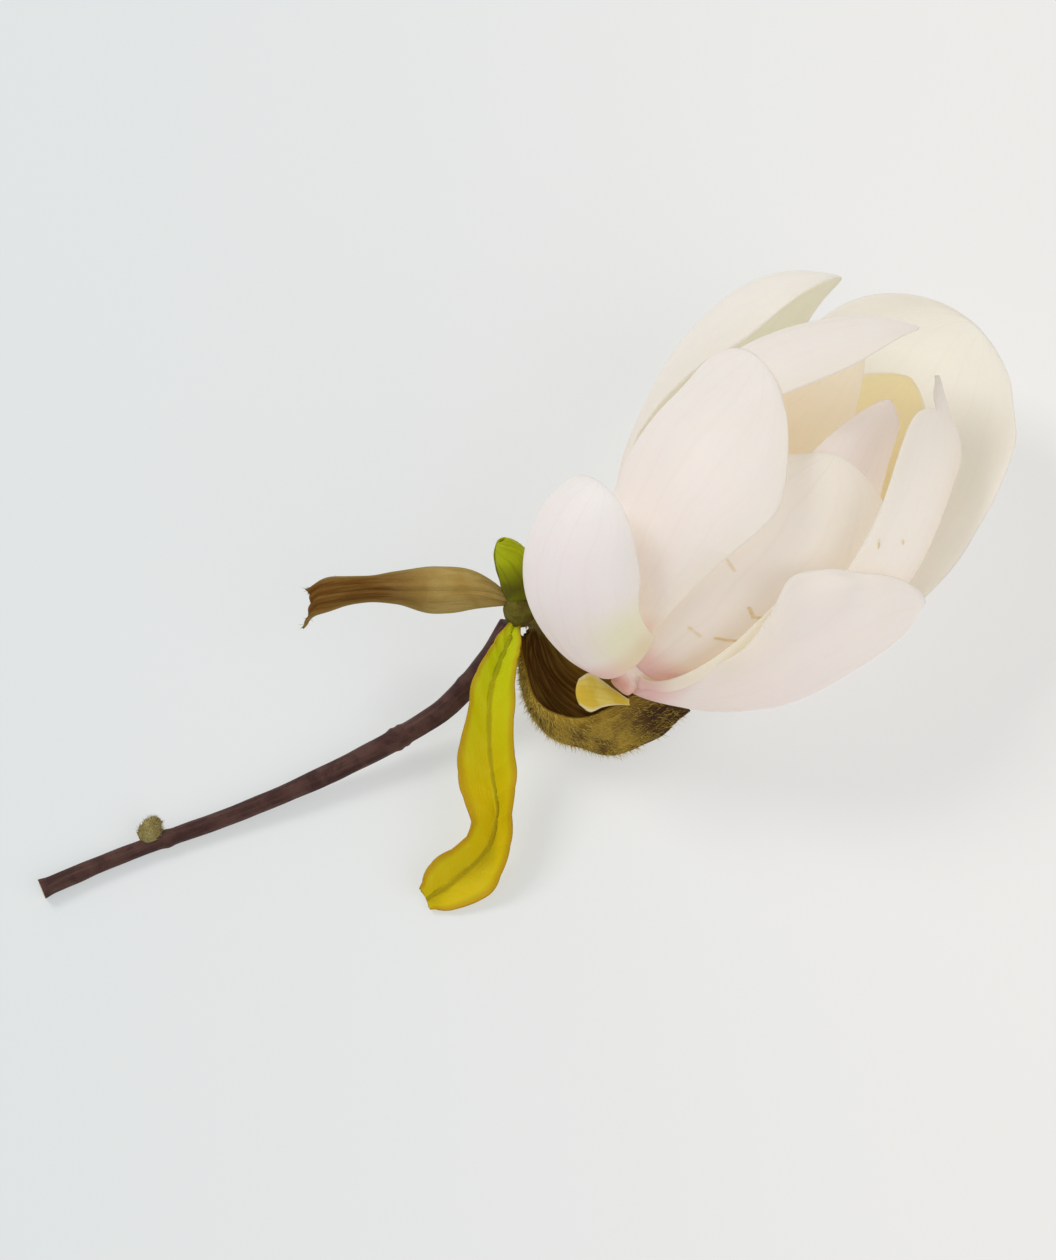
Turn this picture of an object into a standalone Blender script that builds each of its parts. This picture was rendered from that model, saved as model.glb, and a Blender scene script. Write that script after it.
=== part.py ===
"""A half-open magnolia bud, cut with a short twig and lying on its side.

Sizes and places are in millimetres from the foot of the node, the point of the surface under the place
where twig, leaves and flower stalk meet. Everything is then moved by TO_MIDDLE, which puts the origin
under the middle of the object, and turned into metres.
"""

from dataclasses import dataclass
from math import comb

import bmesh
import bpy
import numpy as np
from mathutils import Euler, Matrix

METRES_PER_MM = 0.001
TO_MIDDLE = (-1.0, -0.6, -0.1)

# The bloom's frame: its base, and the way its axis points along and above the surface
BLOOM_BASE = (13.4, -14.9, 15.0)
AXIS_HEADING, AXIS_RISE = 49.0, 12.0

# Tepals
TEPAL_THICKNESS = 0.6
TEPAL_SPACING = 1.35
TEPAL_ROWS, TEPAL_COLUMNS = 15, 9
TIP_HALF_WIDTH = 2.0
CUP_REACH = 0.4

# Map of the bloom's outer radius, along the axis and round it
MAP_LOW, MAP_HIGH = -10.0, 100.0
MAP_ROWS, MAP_COLUMNS = 220, 240
MAP_GROW, MAP_SOFTEN = 12, 3
STEEPEST = 1.2
SOFT_PUSH, SOFT_FLOOR = 0.4, 0.5

# Twig and stalk
TWIG_LINE = [(-62.0, -39.0, 1.25), (-50.5, -33.5, 1.4), (-38.0, -28.5, 1.7), (-25.5, -23.0, 2.8),
             (-13.5, -16.8, 5.0), (-8.5, -13.5, 7.4), (-5.0, -10.2, 10.4), (-3.2, -8.3, 12.2)]
TWIG_RADIUS_CUT, TWIG_RADIUS_NODE = 1.1, 1.5
NODE_PLACE, NODE_RADII = (-1.0, -6.3, 16.0), (2.0, 2.2, 2.6)
STALK_LINE = [(1.0, -7.8, 15.6), (3.5, -9.4, 15.0), (6.6, -11.2, 14.4), (9.0, -12.6, 14.2)]
STALK_RADIUS = 1.5

# Receptacle, stamens and pistil, as (distance along the axis, radius)
RECEPTACLE = [(3.0, 0.0), (2.9, 1.3), (1.6, 1.9), (0.4, 2.6), (-1.2, 2.9), (-3.2, 2.2), (-4.6, 1.2),
              (-4.8, 0.0)]
PISTIL = [(19.0, 0.0), (18.2, 0.9), (15.5, 1.7), (11.0, 2.1), (6.0, 1.7), (3.4, 1.2), (3.3, 0.0)]
STAMENS = [(11.0, 2.5), (11.2, 3.0), (9.8, 3.7), (6.4, 3.5), (4.2, 2.3), (4.3, 1.8), (6.4, 2.1),
           (9.0, 2.45)]

# Leaves and scales, each as three lines from its foot to its tip: one edge, the middle, the other edge
LEAF_LEFT = [(-3.6, -9.6, 15.0), (-5.2, -11.8, 14.8), (-7.0, -16.5, 13.0), (-8.5, -23.5, 10.5),
             (-8.5, -28.0, 9.0), (-7.0, -32.5, 7.5), (-8.5, -35.0, 6.3), (-12.0, -37.0, 4.8),
             (-13.5, -40.0, 3.5)]
LEAF_MIDDLE = [(-2.7, -10.6, 14.0), (-3.7, -12.4, 13.0), (-4.8, -15.8, 11.2), (-5.0, -21.5, 8.4),
               (-4.5, -25.8, 6.2), (-4.0, -30.0, 4.8), (-5.5, -34.5, 3.0), (-9.5, -37.8, 1.6),
               (-13.0, -40.2, 1.2)]
LEAF_RIGHT = [(-1.6, -10.8, 15.0), (-1.8, -13.2, 14.4), (-2.0, -18.5, 12.2), (-1.8, -25.0, 9.6),
              (-2.0, -30.0, 8.0), (-2.5, -35.0, 5.6), (-4.5, -39.5, 2.6), (-9.0, -41.5, 1.0),
              (-12.5, -41.5, 0.9)]
BRACT_FAR = [(-4.6, -3.6, 16.4), (-7.5, -1.8, 17.4), (-12.0, -1.0, 18.0), (-16.5, -1.6, 18.0),
             (-26.0, -1.8, 16.4)]
BRACT_MIDDLE = [(-4.6, -5.4, 17.8), (-7.5, -4.6, 18.9), (-12.0, -4.6, 19.6), (-16.5, -4.6, 19.5),
                (-26.5, -4.2, 17.6)]
BRACT_NEAR = [(-4.8, -7.0, 15.8), (-7.5, -6.6, 15.8), (-12.0, -7.0, 15.6), (-16.5, -6.8, 15.6),
              (-27.0, -6.4, 14.6)]
SCALE_NEAR = [(0.6, -10.2, 13.6), (0.2, -12.4, 13.8), (0.3, -16.5, 13.0), (2.0, -19.5, 12.0),
              (7.0, -20.5, 11.0), (12.0, -20.0, 9.2), (16.0, -19.4, 6.0), (18.8, -19.0, 4.0)]
SCALE_MIDDLE = [(1.6, -8.2, 11.6), (2.2, -9.5, 8.6), (4.5, -12.5, 5.0), (7.5, -14.5, 3.0),
                (11.0, -15.5, 2.4), (14.5, -16.0, 2.6), (17.4, -17.0, 2.6), (19.0, -17.6, 3.0)]
SCALE_FAR = [(3.2, -6.0, 12.6), (4.4, -5.6, 13.0), (6.5, -5.8, 13.0), (8.2, -8.6, 9.8),
             (10.8, -11.6, 7.6), (14.5, -13.2, 6.6), (17.2, -15.6, 4.0), (18.8, -16.4, 3.6)]
LOBE_FAR = [(10.6, -15.6, 11.6), (9.4, -15.2, 13.2), (7.8, -14.9, 13.8), (6.4, -15.9, 13.4)]
LOBE_MIDDLE = [(10.4, -16.2, 10.9), (9.0, -17.0, 12.4), (7.6, -17.0, 12.9), (6.0, -16.9, 13.0)]
LOBE_NEAR = [(10.8, -16.9, 10.4), (9.2, -18.6, 11.8), (7.8, -18.7, 12.3), (6.3, -17.7, 12.7)]
LEAF_THICKNESS, SCALE_THICKNESS, LOBE_THICKNESS = 0.8, 0.8, 0.7
LEAF_GRID, BRACT_GRID, SCALE_GRID, LOBE_GRID = (22, 9), (14, 7), (16, 11), (6, 5)
FOLDED, TROUGH = 1.3, 2.0
KNOB_PLACE, KNOB_RADII, KNOB_TURN = (-4.2, -0.9, 20.8), (2.3, 2.6, 3.8), (-35.0, 0.0, 0.0)
SIDE_BUD_PLACE, SIDE_BUD_RADII, SIDE_BUD_TURN = (-47.8, -29.2, 2.0), (2.4, 1.5, 1.4), (0.0, 0.0, 22.0)

SKIN = {
    "petal": ((0.90, 0.84, 0.83), 0.5),
    "petal_inside": ((0.86, 0.76, 0.56), 0.5),
    "bark": ((0.10, 0.045, 0.04), 0.7),
    "leaf": ((0.33, 0.36, 0.04), 0.5),
    "dry": ((0.22, 0.13, 0.06), 0.8),
    "scale": ((0.12, 0.06, 0.035), 0.7),
    "lobe": ((0.72, 0.58, 0.22), 0.5),
    "heart": ((0.45, 0.5, 0.2), 0.6),
    "anther": ((0.72, 0.5, 0.3), 0.6),
}


@dataclass
class Tepal:
    """A spoon-shaped tepal: its place round the axis, its outline, its lean from the axis and its cup."""

    turn: float  # round the axis, from the top towards the front right, in degrees
    length: float
    width: float
    widest: float  # where along the length it is widest, as a share
    fullness: float  # under 0.5 is square-shouldered, over 0.8 is pointed
    lean: tuple  # away from the axis, in degrees, from the foot to the tip
    cup: float  # radius across
    foot: tuple  # distance along the axis, and from it
    claw: float  # half the width of the foot
    floor: float  # it rests no lower than this
    sweep: float = 0.0  # how far it goes round the axis by its tip, in degrees
    twist: float = 0.0
    curl: tuple = (0.0, 0.0)  # how far each edge rolls out, as a share of the half width
    point: float = 0.0  # share of the length that is a narrow point
    slant: float = 0.0  # how far the first edge runs ahead at the tip, as a share of the half width
    hood: float = 0.0  # how much tighter the cup is at the tip
    foot_cup: float = 5.0  # radius across the foot


# From the innermost to the outermost, because each lies on those inside it
TEPALS = {
    "tepal_inside_left": Tepal(-129, 56, 27, 0.55, 0.72, (47, 12, -9, -27), 13, (3.2, 2.6), 2.0, 7.4,
                               sweep=5),
    "tepal_inside_back": Tepal(184, 58, 30, 0.58, 0.65, (53, 17, -5, -25), 14, (3.2, 2.6), 2.0, 6.0),
    "tepal_inner_small": Tepal(55, 49, 17, 0.56, 0.68, (44, 11, -13, -32), 13, (3.2, 2.6), 2.0, 5.0,
                               sweep=3),
    "tepal_front_centre": Tepal(30, 38, 46, 0.5, 0.75, (52, 24, -1, -28), 16, (2.0, 3.4), 4.0, 5.0,
                                sweep=-4, twist=4, slant=-0.2),
    "tepal_arching": Tepal(-84, 68, 38, 0.61, 0.5, (53, 20, -17, -61), 16.5, (2.0, 3.4), 2.4, 5.0,
                           sweep=31, twist=-6, curl=(0, 0.08)),
    "tepal_right_pointed": Tepal(91, 64, 30, 0.72, 0.5, (61, 20, -15, -55), 20, (2.0, 3.4), 2.3, 4.2,
                                 sweep=-7, twist=3, curl=(0.12, 0), point=0.1),
    "tepal_upper_front": Tepal(-34, 45, 37.5, 0.66, 0.42, (58, 35, 6, -33), 16.3, (0.8, 4.2), 3.5, 4.0,
                               sweep=-5, twist=-4, curl=(-0.09, 0.04), slant=0.2),
    "tepal_back_right": Tepal(150, 74, 47, 0.68, 0.5, (48, 18, -15, -24), 26, (0.8, 4.2), 1.8, 2.9,
                              sweep=18, twist=-3, curl=(0, -0.1), slant=-0.3, hood=0.1),
    "tepal_back_left": Tepal(-146, 77, 41, 0.6, 0.6, (63, 43, 1, -78), 18.5, (0.8, 4.2), 3.0, 0.4,
                             sweep=58, twist=-8, curl=(0, -0.1), hood=0.5),
    "tepal_under_front": Tepal(88, 30, 24, 0.6, 0.7, (60, 32, 0, -25), 19, (0.4, 4.6), 2.5, 1.7,
                               curl=(0.04, 0)),
    "tepal_lower_right": Tepal(112, 37, 36, 0.6, 0.5, (58, 29, -3, -33), 22, (0.0, 4.8), 1.5, 0.4,
                               twist=2, curl=(-0.07, 0)),
    "tepal_outer_left": Tepal(-43, 30, 27, 0.54, 0.42, (90, 80, 28, -4), 8.5, (-1.6, 4.2), 5.0, 0.35,
                              sweep=8, twist=-10, foot_cup=6.5),
}
INSIDE_TEPALS = ("tepal_inside_back", "tepal_inside_left")


def bloom_frame():
    """Unit vectors along the bloom's axis, up from it, and to the front right of it."""
    heading, rise = np.radians([AXIS_HEADING, AXIS_RISE])
    axis = np.array([np.cos(heading) * np.cos(rise), np.sin(heading) * np.cos(rise), np.sin(rise)])
    upward = np.array([0.0, 0.0, 1.0]) - axis[2] * axis
    upward /= np.linalg.norm(upward)
    return np.array([axis, upward, np.cross(axis, upward)])


def bloom_to_node(points):
    """Points of the bloom's frame, seen from the foot of the node."""
    return np.array(BLOOM_BASE) + points @ bloom_frame()


def node_to_bloom(points):
    return (points - np.array(BLOOM_BASE)) @ bloom_frame().T


def smooth_steps(share, values):
    """A Bernstein polynomial of the values, read at each share."""
    last = len(values) - 1
    return sum(comb(last, i) * (1 - share) ** (last - i) * share**i * value
               for i, value in enumerate(values))


def running_sum(values, step):
    return np.concatenate([[0.0], np.cumsum((values[1:] + values[:-1]) / 2 * step)])


def tepal_half_width(tepal, share):
    """A power of a sine, widened at the foot into the claw and at the tip into the point."""
    skew = np.log(0.5) / np.log(tepal.widest)
    blade = np.clip(share / (1 - tepal.point), 0, 1)
    half = tepal.width / 2 * np.clip(np.sin(np.pi * blade**skew), 0, 1) ** tepal.fullness
    claw = tepal.claw * (1 - share) ** 2
    return np.sqrt(half**2 + claw**2 + TIP_HALF_WIDTH**2)


def tepal_surface(tepal):
    """The tepal's middle surface as a grid of points in the bloom's frame."""
    share = np.linspace(0, 1, TEPAL_ROWS)
    across = np.linspace(-1, 1, TEPAL_COLUMNS)[None, :]
    lean = np.radians(smooth_steps(share, tepal.lean))
    step = tepal.length / (TEPAL_ROWS - 1)
    along_foot, out_foot = tepal.foot
    along = (along_foot + running_sum(np.cos(lean), step))[:, None]
    out = (out_foot + running_sum(np.sin(lean), step))[:, None]
    half = tepal_half_width(tepal, share)[:, None]
    opened = tepal.foot_cup + (tepal.cup - tepal.foot_cup) * np.clip(share / CUP_REACH, 0, 1) ** 0.8
    cup = (opened * (1 - tepal.hood * share**2))[:, None]
    bend = across * half / cup
    roll = np.where(across < 0, *tepal.curl) * half * np.abs(across) ** 3
    sideways, inward = cup * np.sin(bend), cup * (1 - np.cos(bend)) - roll
    twist = np.radians(tepal.twist) * share[:, None]
    sideways, outward = (sideways * np.cos(twist) + inward * np.sin(twist),
                         sideways * np.sin(twist) - inward * np.cos(twist))
    lean = lean[:, None]
    along = along - tepal.slant * across * half * share[:, None]
    distance = out + np.cos(lean) * outward
    turn = np.radians(tepal.turn + tepal.sweep * share**2)[:, None]
    return np.stack([along - np.sin(lean) * outward,
                     distance * np.cos(turn) - sideways * np.sin(turn),
                     distance * np.sin(turn) + sideways * np.cos(turn)], axis=-1)


def finer(grid, times):
    """The grid with straight lines between its points cut into times steps."""
    for axis in (0, 1):
        grid = np.moveaxis(grid, axis, 0)
        place = np.linspace(0, len(grid) - 1, (len(grid) - 1) * times + 1)
        low = np.minimum(place.astype(int), len(grid) - 2)
        part = (place - low)[:, None, None]
        grid = np.moveaxis(grid[low] * (1 - part) + grid[low + 1] * part, 0, axis)
    return grid


def round_the_axis(grid):
    """Distance along the axis, turn round it as a share of a circle, and distance from it."""
    turn = np.arctan2(grid[..., 2], grid[..., 1]) / (2 * np.pi) + 0.5
    return grid[..., 0], turn, np.hypot(grid[..., 1], grid[..., 2])


def raise_map(outer, grid):
    """Raises the map of outer radii to a tepal's own."""
    along, turn, radius = round_the_axis(finer(grid, 8))
    row = ((along - MAP_LOW) / (MAP_HIGH - MAP_LOW) * MAP_ROWS).astype(int).clip(0, MAP_ROWS - 1)
    column = (turn * MAP_COLUMNS).astype(int) % MAP_COLUMNS
    np.maximum.at(outer, (row, column), radius)


def shifts(values, reach, axis):
    return [np.roll(values, k, axis) for k in range(-reach, reach + 1)]


def slope(outer, cell, axis):
    """Rise of the map for each millimetre along an axis, where there is a tepal on both sides."""
    ahead, behind = np.roll(outer, -1, axis), np.roll(outer, 1, axis)
    return np.where((ahead > 0) & (behind > 0), (ahead - behind) / (2 * cell), 0.0).clip(-STEEPEST, STEEPEST)


def room_outside(outer):
    """The least radius of the next tepal: the map grown sideways, raised by the spacing and blurred."""
    for axis in (0, 1):
        outer = np.max(shifts(outer, MAP_GROW, axis), axis=0)
    around = np.maximum(outer, 1.0) * 2 * np.pi / MAP_COLUMNS
    steep = np.hypot(slope(outer, (MAP_HIGH - MAP_LOW) / MAP_ROWS, 0), slope(outer, around, 1))
    outer = np.where(outer > 0, outer + TEPAL_SPACING * np.hypot(1.0, steep), 0.0)
    for axis in (0, 1, 0, 1):
        outer = np.mean(shifts(outer, MAP_SOFTEN, axis), axis=0)
    return outer


def lie_on(grid, outer):
    """The grid pushed away from the axis to the least radius of the map."""
    along, turn, radius = round_the_axis(grid)
    row = np.clip((along - MAP_LOW) / (MAP_HIGH - MAP_LOW) * MAP_ROWS - 0.5, 0, MAP_ROWS - 1.001)
    column = turn * MAP_COLUMNS - 0.5
    r0, c0 = np.floor(row).astype(int), np.floor(column).astype(int)
    fr, fc = row - r0, column - c0
    c0, c1 = c0 % MAP_COLUMNS, (c0 + 1) % MAP_COLUMNS
    inner = ((outer[r0, c0] * (1 - fc) + outer[r0, c1] * fc) * (1 - fr)
             + (outer[r0 + 1, c0] * (1 - fc) + outer[r0 + 1, c1] * fc) * fr)
    pushed = inner + SOFT_PUSH * np.logaddexp(0, (radius - inner) / SOFT_PUSH)
    factor = np.where(inner > 0.01, pushed, radius) / np.maximum(radius, 0.01)
    return np.concatenate([grid[..., :1], grid[..., 1:] * factor[..., None]], axis=-1)


def rest_on(points, floor):
    """Points lifted smoothly to the floor where they were below it."""
    lifted = points.copy()
    lifted[..., 2] = floor + SOFT_FLOOR * np.logaddexp(0, (points[..., 2] - floor) / SOFT_FLOOR)
    return lifted


def smooth_line(points, count):
    """Points evenly along a Catmull-Rom curve through the given ones."""
    given = np.array(points, float)
    padded = np.concatenate([[2 * given[0] - given[1]], given, [2 * given[-1] - given[-2]]])
    place = np.linspace(0, len(given) - 1, count)
    i = np.minimum(place.astype(int), len(given) - 2)
    t = (place - i)[:, None]
    a, b, c, d = (padded[i + k] for k in range(4))
    return 0.5 * (2 * b + (c - a) * t + (2 * a - 5 * b + 4 * c - d) * t**2 + (3 * b - a - 3 * c + d) * t**3)


def between_lines(lines, grid_size, fold):
    """A surface through an edge, a middle and another edge. A fold of 1 is a crease, of 2 a trough."""
    rows, columns = grid_size
    first, middle, last = (smooth_line(line, rows)[:, None] for line in lines)
    across = np.linspace(-1, 1, columns)[None, :, None]
    return middle + across * (last - first) / 2 + np.abs(across) ** fold * ((first + last) / 2 - middle)


def skin(name):
    material = bpy.data.materials.get(name) or bpy.data.materials.new(name)
    material.use_nodes = True
    colour, roughness = SKIN[name]
    shader = material.node_tree.nodes["Principled BSDF"]
    shader.inputs["Base Color"].default_value = (*colour, 1.0)
    shader.inputs["Roughness"].default_value = roughness
    return material


def placed(points):
    """Millimetres from the node's foot as metres from the origin."""
    return (points + np.array(TO_MIDDLE)) * METRES_PER_MM


def add_object(name, mesh, finish, collection):
    obj = bpy.data.objects.new(name, mesh)
    mesh.materials.clear()
    mesh.materials.append(skin(finish))
    mesh.shade_smooth()
    collection.objects.link(obj)
    return obj


def add_sheet(name, grid, thickness, finish, collection):
    """A grid of points as an open surface, given its thickness by Solidify."""
    rows, columns = grid.shape[:2]
    sheet = bmesh.new()
    bmesh.ops.create_grid(sheet, x_segments=columns - 1, y_segments=rows - 1, size=1.0)
    order = sorted(sheet.verts, key=lambda vert: (round(vert.co.y, 4), round(vert.co.x, 4)))
    for vert, point in zip(order, placed(grid).reshape(-1, 3)):
        vert.co = point
    mesh = bpy.data.meshes.new(name)
    sheet.to_mesh(mesh)
    sheet.free()
    obj = add_object(name, mesh, finish, collection)
    solid = obj.modifiers.new("Thickness", "SOLIDIFY")
    solid.thickness = thickness * METRES_PER_MM
    solid.offset = 0.0
    return obj


def add_rod(name, line, radii, finish, collection):
    """A tapered rod along a line of points, with filled caps."""
    curve = bpy.data.curves.new(name, "CURVE")
    curve.dimensions = "3D"
    curve.bevel_depth = METRES_PER_MM
    curve.bevel_resolution = 2
    curve.use_fill_caps = True
    spline = curve.splines.new("POLY")
    spline.points.add(len(line) - 1)
    for point, place, radius in zip(spline.points, placed(line), np.linspace(*radii, len(line))):
        point.co = (*place, 1.0)
        point.radius = radius
    curve.materials.append(skin(finish))
    obj = bpy.data.objects.new(name, curve)
    collection.objects.link(obj)
    return obj


def add_ball(name, place, radii, turn, finish, collection):
    """A ball stretched to three radii, turned and put in its place."""
    ball = bmesh.new()
    bmesh.ops.create_uvsphere(ball, u_segments=16, v_segments=9, radius=1.0)
    turned = np.array(Euler(np.radians(turn)).to_matrix())
    for vert in ball.verts:
        vert.co = placed(turned @ (np.array(vert.co) * radii) + np.array(place))
    mesh = bpy.data.meshes.new(name)
    ball.to_mesh(mesh)
    ball.free()
    return add_object(name, mesh, finish, collection)


def add_turned(name, profile, finish, collection, closed=False):
    """A profile turned round the bloom's axis by a Screw modifier on an object that lies along it."""
    mesh = bpy.data.meshes.new(name)
    points = [(radius * METRES_PER_MM, 0.0, along * METRES_PER_MM) for along, radius in profile]
    edges = [(i, i + 1) for i in range(len(points) - 1)]
    if closed:
        edges.append((len(points) - 1, 0))
    mesh.from_pydata(points, edges, [])
    obj = add_object(name, mesh, finish, collection)
    axis, upward, side = bloom_frame()
    columns = np.stack([side, np.cross(axis, side), axis, placed(np.array(BLOOM_BASE))], axis=1)
    obj.matrix_world = Matrix([*columns.tolist(), [0.0, 0.0, 0.0, 1.0]])
    screw = obj.modifiers.new("Turned", "SCREW")
    screw.steps = screw.render_steps = 20
    screw.use_merge_vertices = True
    screw.merge_threshold = 0.00001
    screw.use_smooth_shade = True
    return obj


def build_tepals(collection):
    """Each tepal, from the inside out, lying on those already there."""
    outer = np.zeros((MAP_ROWS, MAP_COLUMNS))
    for name, tepal in TEPALS.items():
        grid = tepal_surface(tepal)
        if outer.any():
            grid = lie_on(grid, room_outside(outer))
        grid = rest_on(bloom_to_node(grid), tepal.floor)
        raise_map(outer, node_to_bloom(grid))
        finish = "petal_inside" if name in INSIDE_TEPALS else "petal"
        add_sheet(name, grid, TEPAL_THICKNESS, finish, collection)


def build_heart(collection):
    add_turned("receptacle", RECEPTACLE, "heart", collection)
    add_turned("pistil_cone", PISTIL, "heart", collection)
    add_turned("stamen_ring", STAMENS, "anther", collection, closed=True)


def build_twig(collection):
    add_rod("twig", smooth_line(TWIG_LINE, 22), (TWIG_RADIUS_CUT, TWIG_RADIUS_NODE), "bark", collection)
    add_ball("node", NODE_PLACE, NODE_RADII, (0.0, 0.0, 0.0), "bark", collection)
    add_rod("flower_stalk", smooth_line(STALK_LINE, 6), (STALK_RADIUS, STALK_RADIUS), "leaf", collection)
    add_ball("side_bud", SIDE_BUD_PLACE, SIDE_BUD_RADII, SIDE_BUD_TURN, "dry", collection)


def build_leaves(collection):
    leaf = between_lines((LEAF_LEFT, LEAF_MIDDLE, LEAF_RIGHT), LEAF_GRID, FOLDED)
    bract = between_lines((BRACT_FAR, BRACT_MIDDLE, BRACT_NEAR), BRACT_GRID, TROUGH)
    scale = between_lines((SCALE_FAR, SCALE_MIDDLE, SCALE_NEAR), SCALE_GRID, TROUGH)
    lobe = between_lines((LOBE_FAR, LOBE_MIDDLE, LOBE_NEAR), LOBE_GRID, TROUGH)
    add_sheet("young_leaf", leaf, LEAF_THICKNESS, "leaf", collection)
    add_sheet("dry_bract", bract, LEAF_THICKNESS, "dry", collection)
    add_sheet("bud_scale", scale, SCALE_THICKNESS, "scale", collection)
    add_sheet("sepal_lobe", lobe, LOBE_THICKNESS, "lobe", collection)
    add_ball("leaf_knob", KNOB_PLACE, KNOB_RADII, KNOB_TURN, "leaf", collection)


def main():
    for obj in list(bpy.data.objects):
        bpy.data.objects.remove(obj, do_unlink=True)
    collection = bpy.data.collections.new("magnolia_bud")
    bpy.context.scene.collection.children.link(collection)
    build_tepals(collection)
    build_heart(collection)
    build_twig(collection)
    build_leaves(collection)


main()
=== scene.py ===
"""The looks of a half-open magnolia bud that lies on its side with a short twig.

Sizes and places are in millimetres from the foot of the node, the point of the surface under the place
where twig, leaves and flower stalk meet. `to_metres` moves them to the origin under the middle of the object.
"""

import logging
from dataclasses import dataclass, field
from enum import Enum
from math import comb
from typing import Sequence

import bpy
import numpy as np
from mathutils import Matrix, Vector


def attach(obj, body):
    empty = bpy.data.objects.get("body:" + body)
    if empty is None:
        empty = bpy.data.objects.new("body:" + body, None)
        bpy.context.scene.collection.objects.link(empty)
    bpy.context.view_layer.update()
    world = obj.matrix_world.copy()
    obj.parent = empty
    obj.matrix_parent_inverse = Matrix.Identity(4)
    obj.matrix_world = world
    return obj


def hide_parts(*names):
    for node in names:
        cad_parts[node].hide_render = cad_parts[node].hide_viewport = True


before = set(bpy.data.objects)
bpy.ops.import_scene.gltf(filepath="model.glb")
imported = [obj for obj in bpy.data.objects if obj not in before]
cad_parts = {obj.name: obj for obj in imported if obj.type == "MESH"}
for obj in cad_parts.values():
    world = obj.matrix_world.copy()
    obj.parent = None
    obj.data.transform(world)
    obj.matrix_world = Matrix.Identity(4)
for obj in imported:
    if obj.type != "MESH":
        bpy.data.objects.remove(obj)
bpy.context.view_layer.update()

log = logging.getLogger("magnolia")
Array = np.ndarray
Colour = tuple[float, float, float]
Point = tuple[float, float, float]

MM = 0.001
TO_MIDDLE = np.array([-1.0, -0.6, -0.1])
BODY = "root"


def to_metres(points: Array) -> Array:
    """Millimetres from the node's foot as metres from the origin."""
    return (np.asarray(points, float) + TO_MIDDLE) * MM


# Shader maths


class Value:
    """A shader socket, or a plain number, that builds Math nodes when it is used in an expression."""

    def __init__(self, graph: "Graph", source: "bpy.types.NodeSocket | float") -> None:
        """Keeps the graph that new nodes go to and the socket or number."""
        self.graph = graph
        self.source = source

    def _math(self, operation: str, *others: "Value | float", clamp: bool = False) -> "Value":
        """One Math node on this value and up to two others."""
        values = {i: other for i, other in enumerate((self, *others))}
        return self.graph.add("ShaderNodeMath", {"operation": operation, "use_clamp": clamp}, values)

    def __add__(self, other: "Value | float") -> "Value":
        """Sum."""
        return self._math("ADD", other)

    __radd__ = __add__

    def __mul__(self, other: "Value | float") -> "Value":
        """Product."""
        return self._math("MULTIPLY", other)

    __rmul__ = __mul__

    def __sub__(self, other: "Value | float") -> "Value":
        """Difference."""
        return self._math("SUBTRACT", other)

    def __rsub__(self, other: float) -> "Value":
        """Difference with a plain number on the left."""
        return self.graph.number(other)._math("SUBTRACT", self)

    def __truediv__(self, other: "Value | float") -> "Value":
        """Quotient."""
        return self._math("DIVIDE", other)

    def __pow__(self, other: "Value | float") -> "Value":
        """Power."""
        return self._math("POWER", other)

    def __abs__(self) -> "Value":
        """Absolute value."""
        return self._math("ABSOLUTE")

    def sine(self) -> "Value":
        """Sine of the value in radians."""
        return self._math("SINE")

    def clamped(self) -> "Value":
        """The value kept between 0 and 1."""
        return self._math("ADD", 0.0, clamp=True)

    def at_least(self, other: "Value | float") -> "Value":
        """The larger of two values."""
        return self._math("MAXIMUM", other)

    def step(self, low: float, high: float) -> "Value":
        """A smooth step that goes from 0 at low to 1 at high, or falls where high is the smaller one."""
        if low > high:
            return 1.0 - self.step(high, low)
        sockets = {"Value": self, "From Min": low, "From Max": high}
        return self.graph.add("ShaderNodeMapRange", {"interpolation_type": "SMOOTHSTEP"}, sockets)


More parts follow.
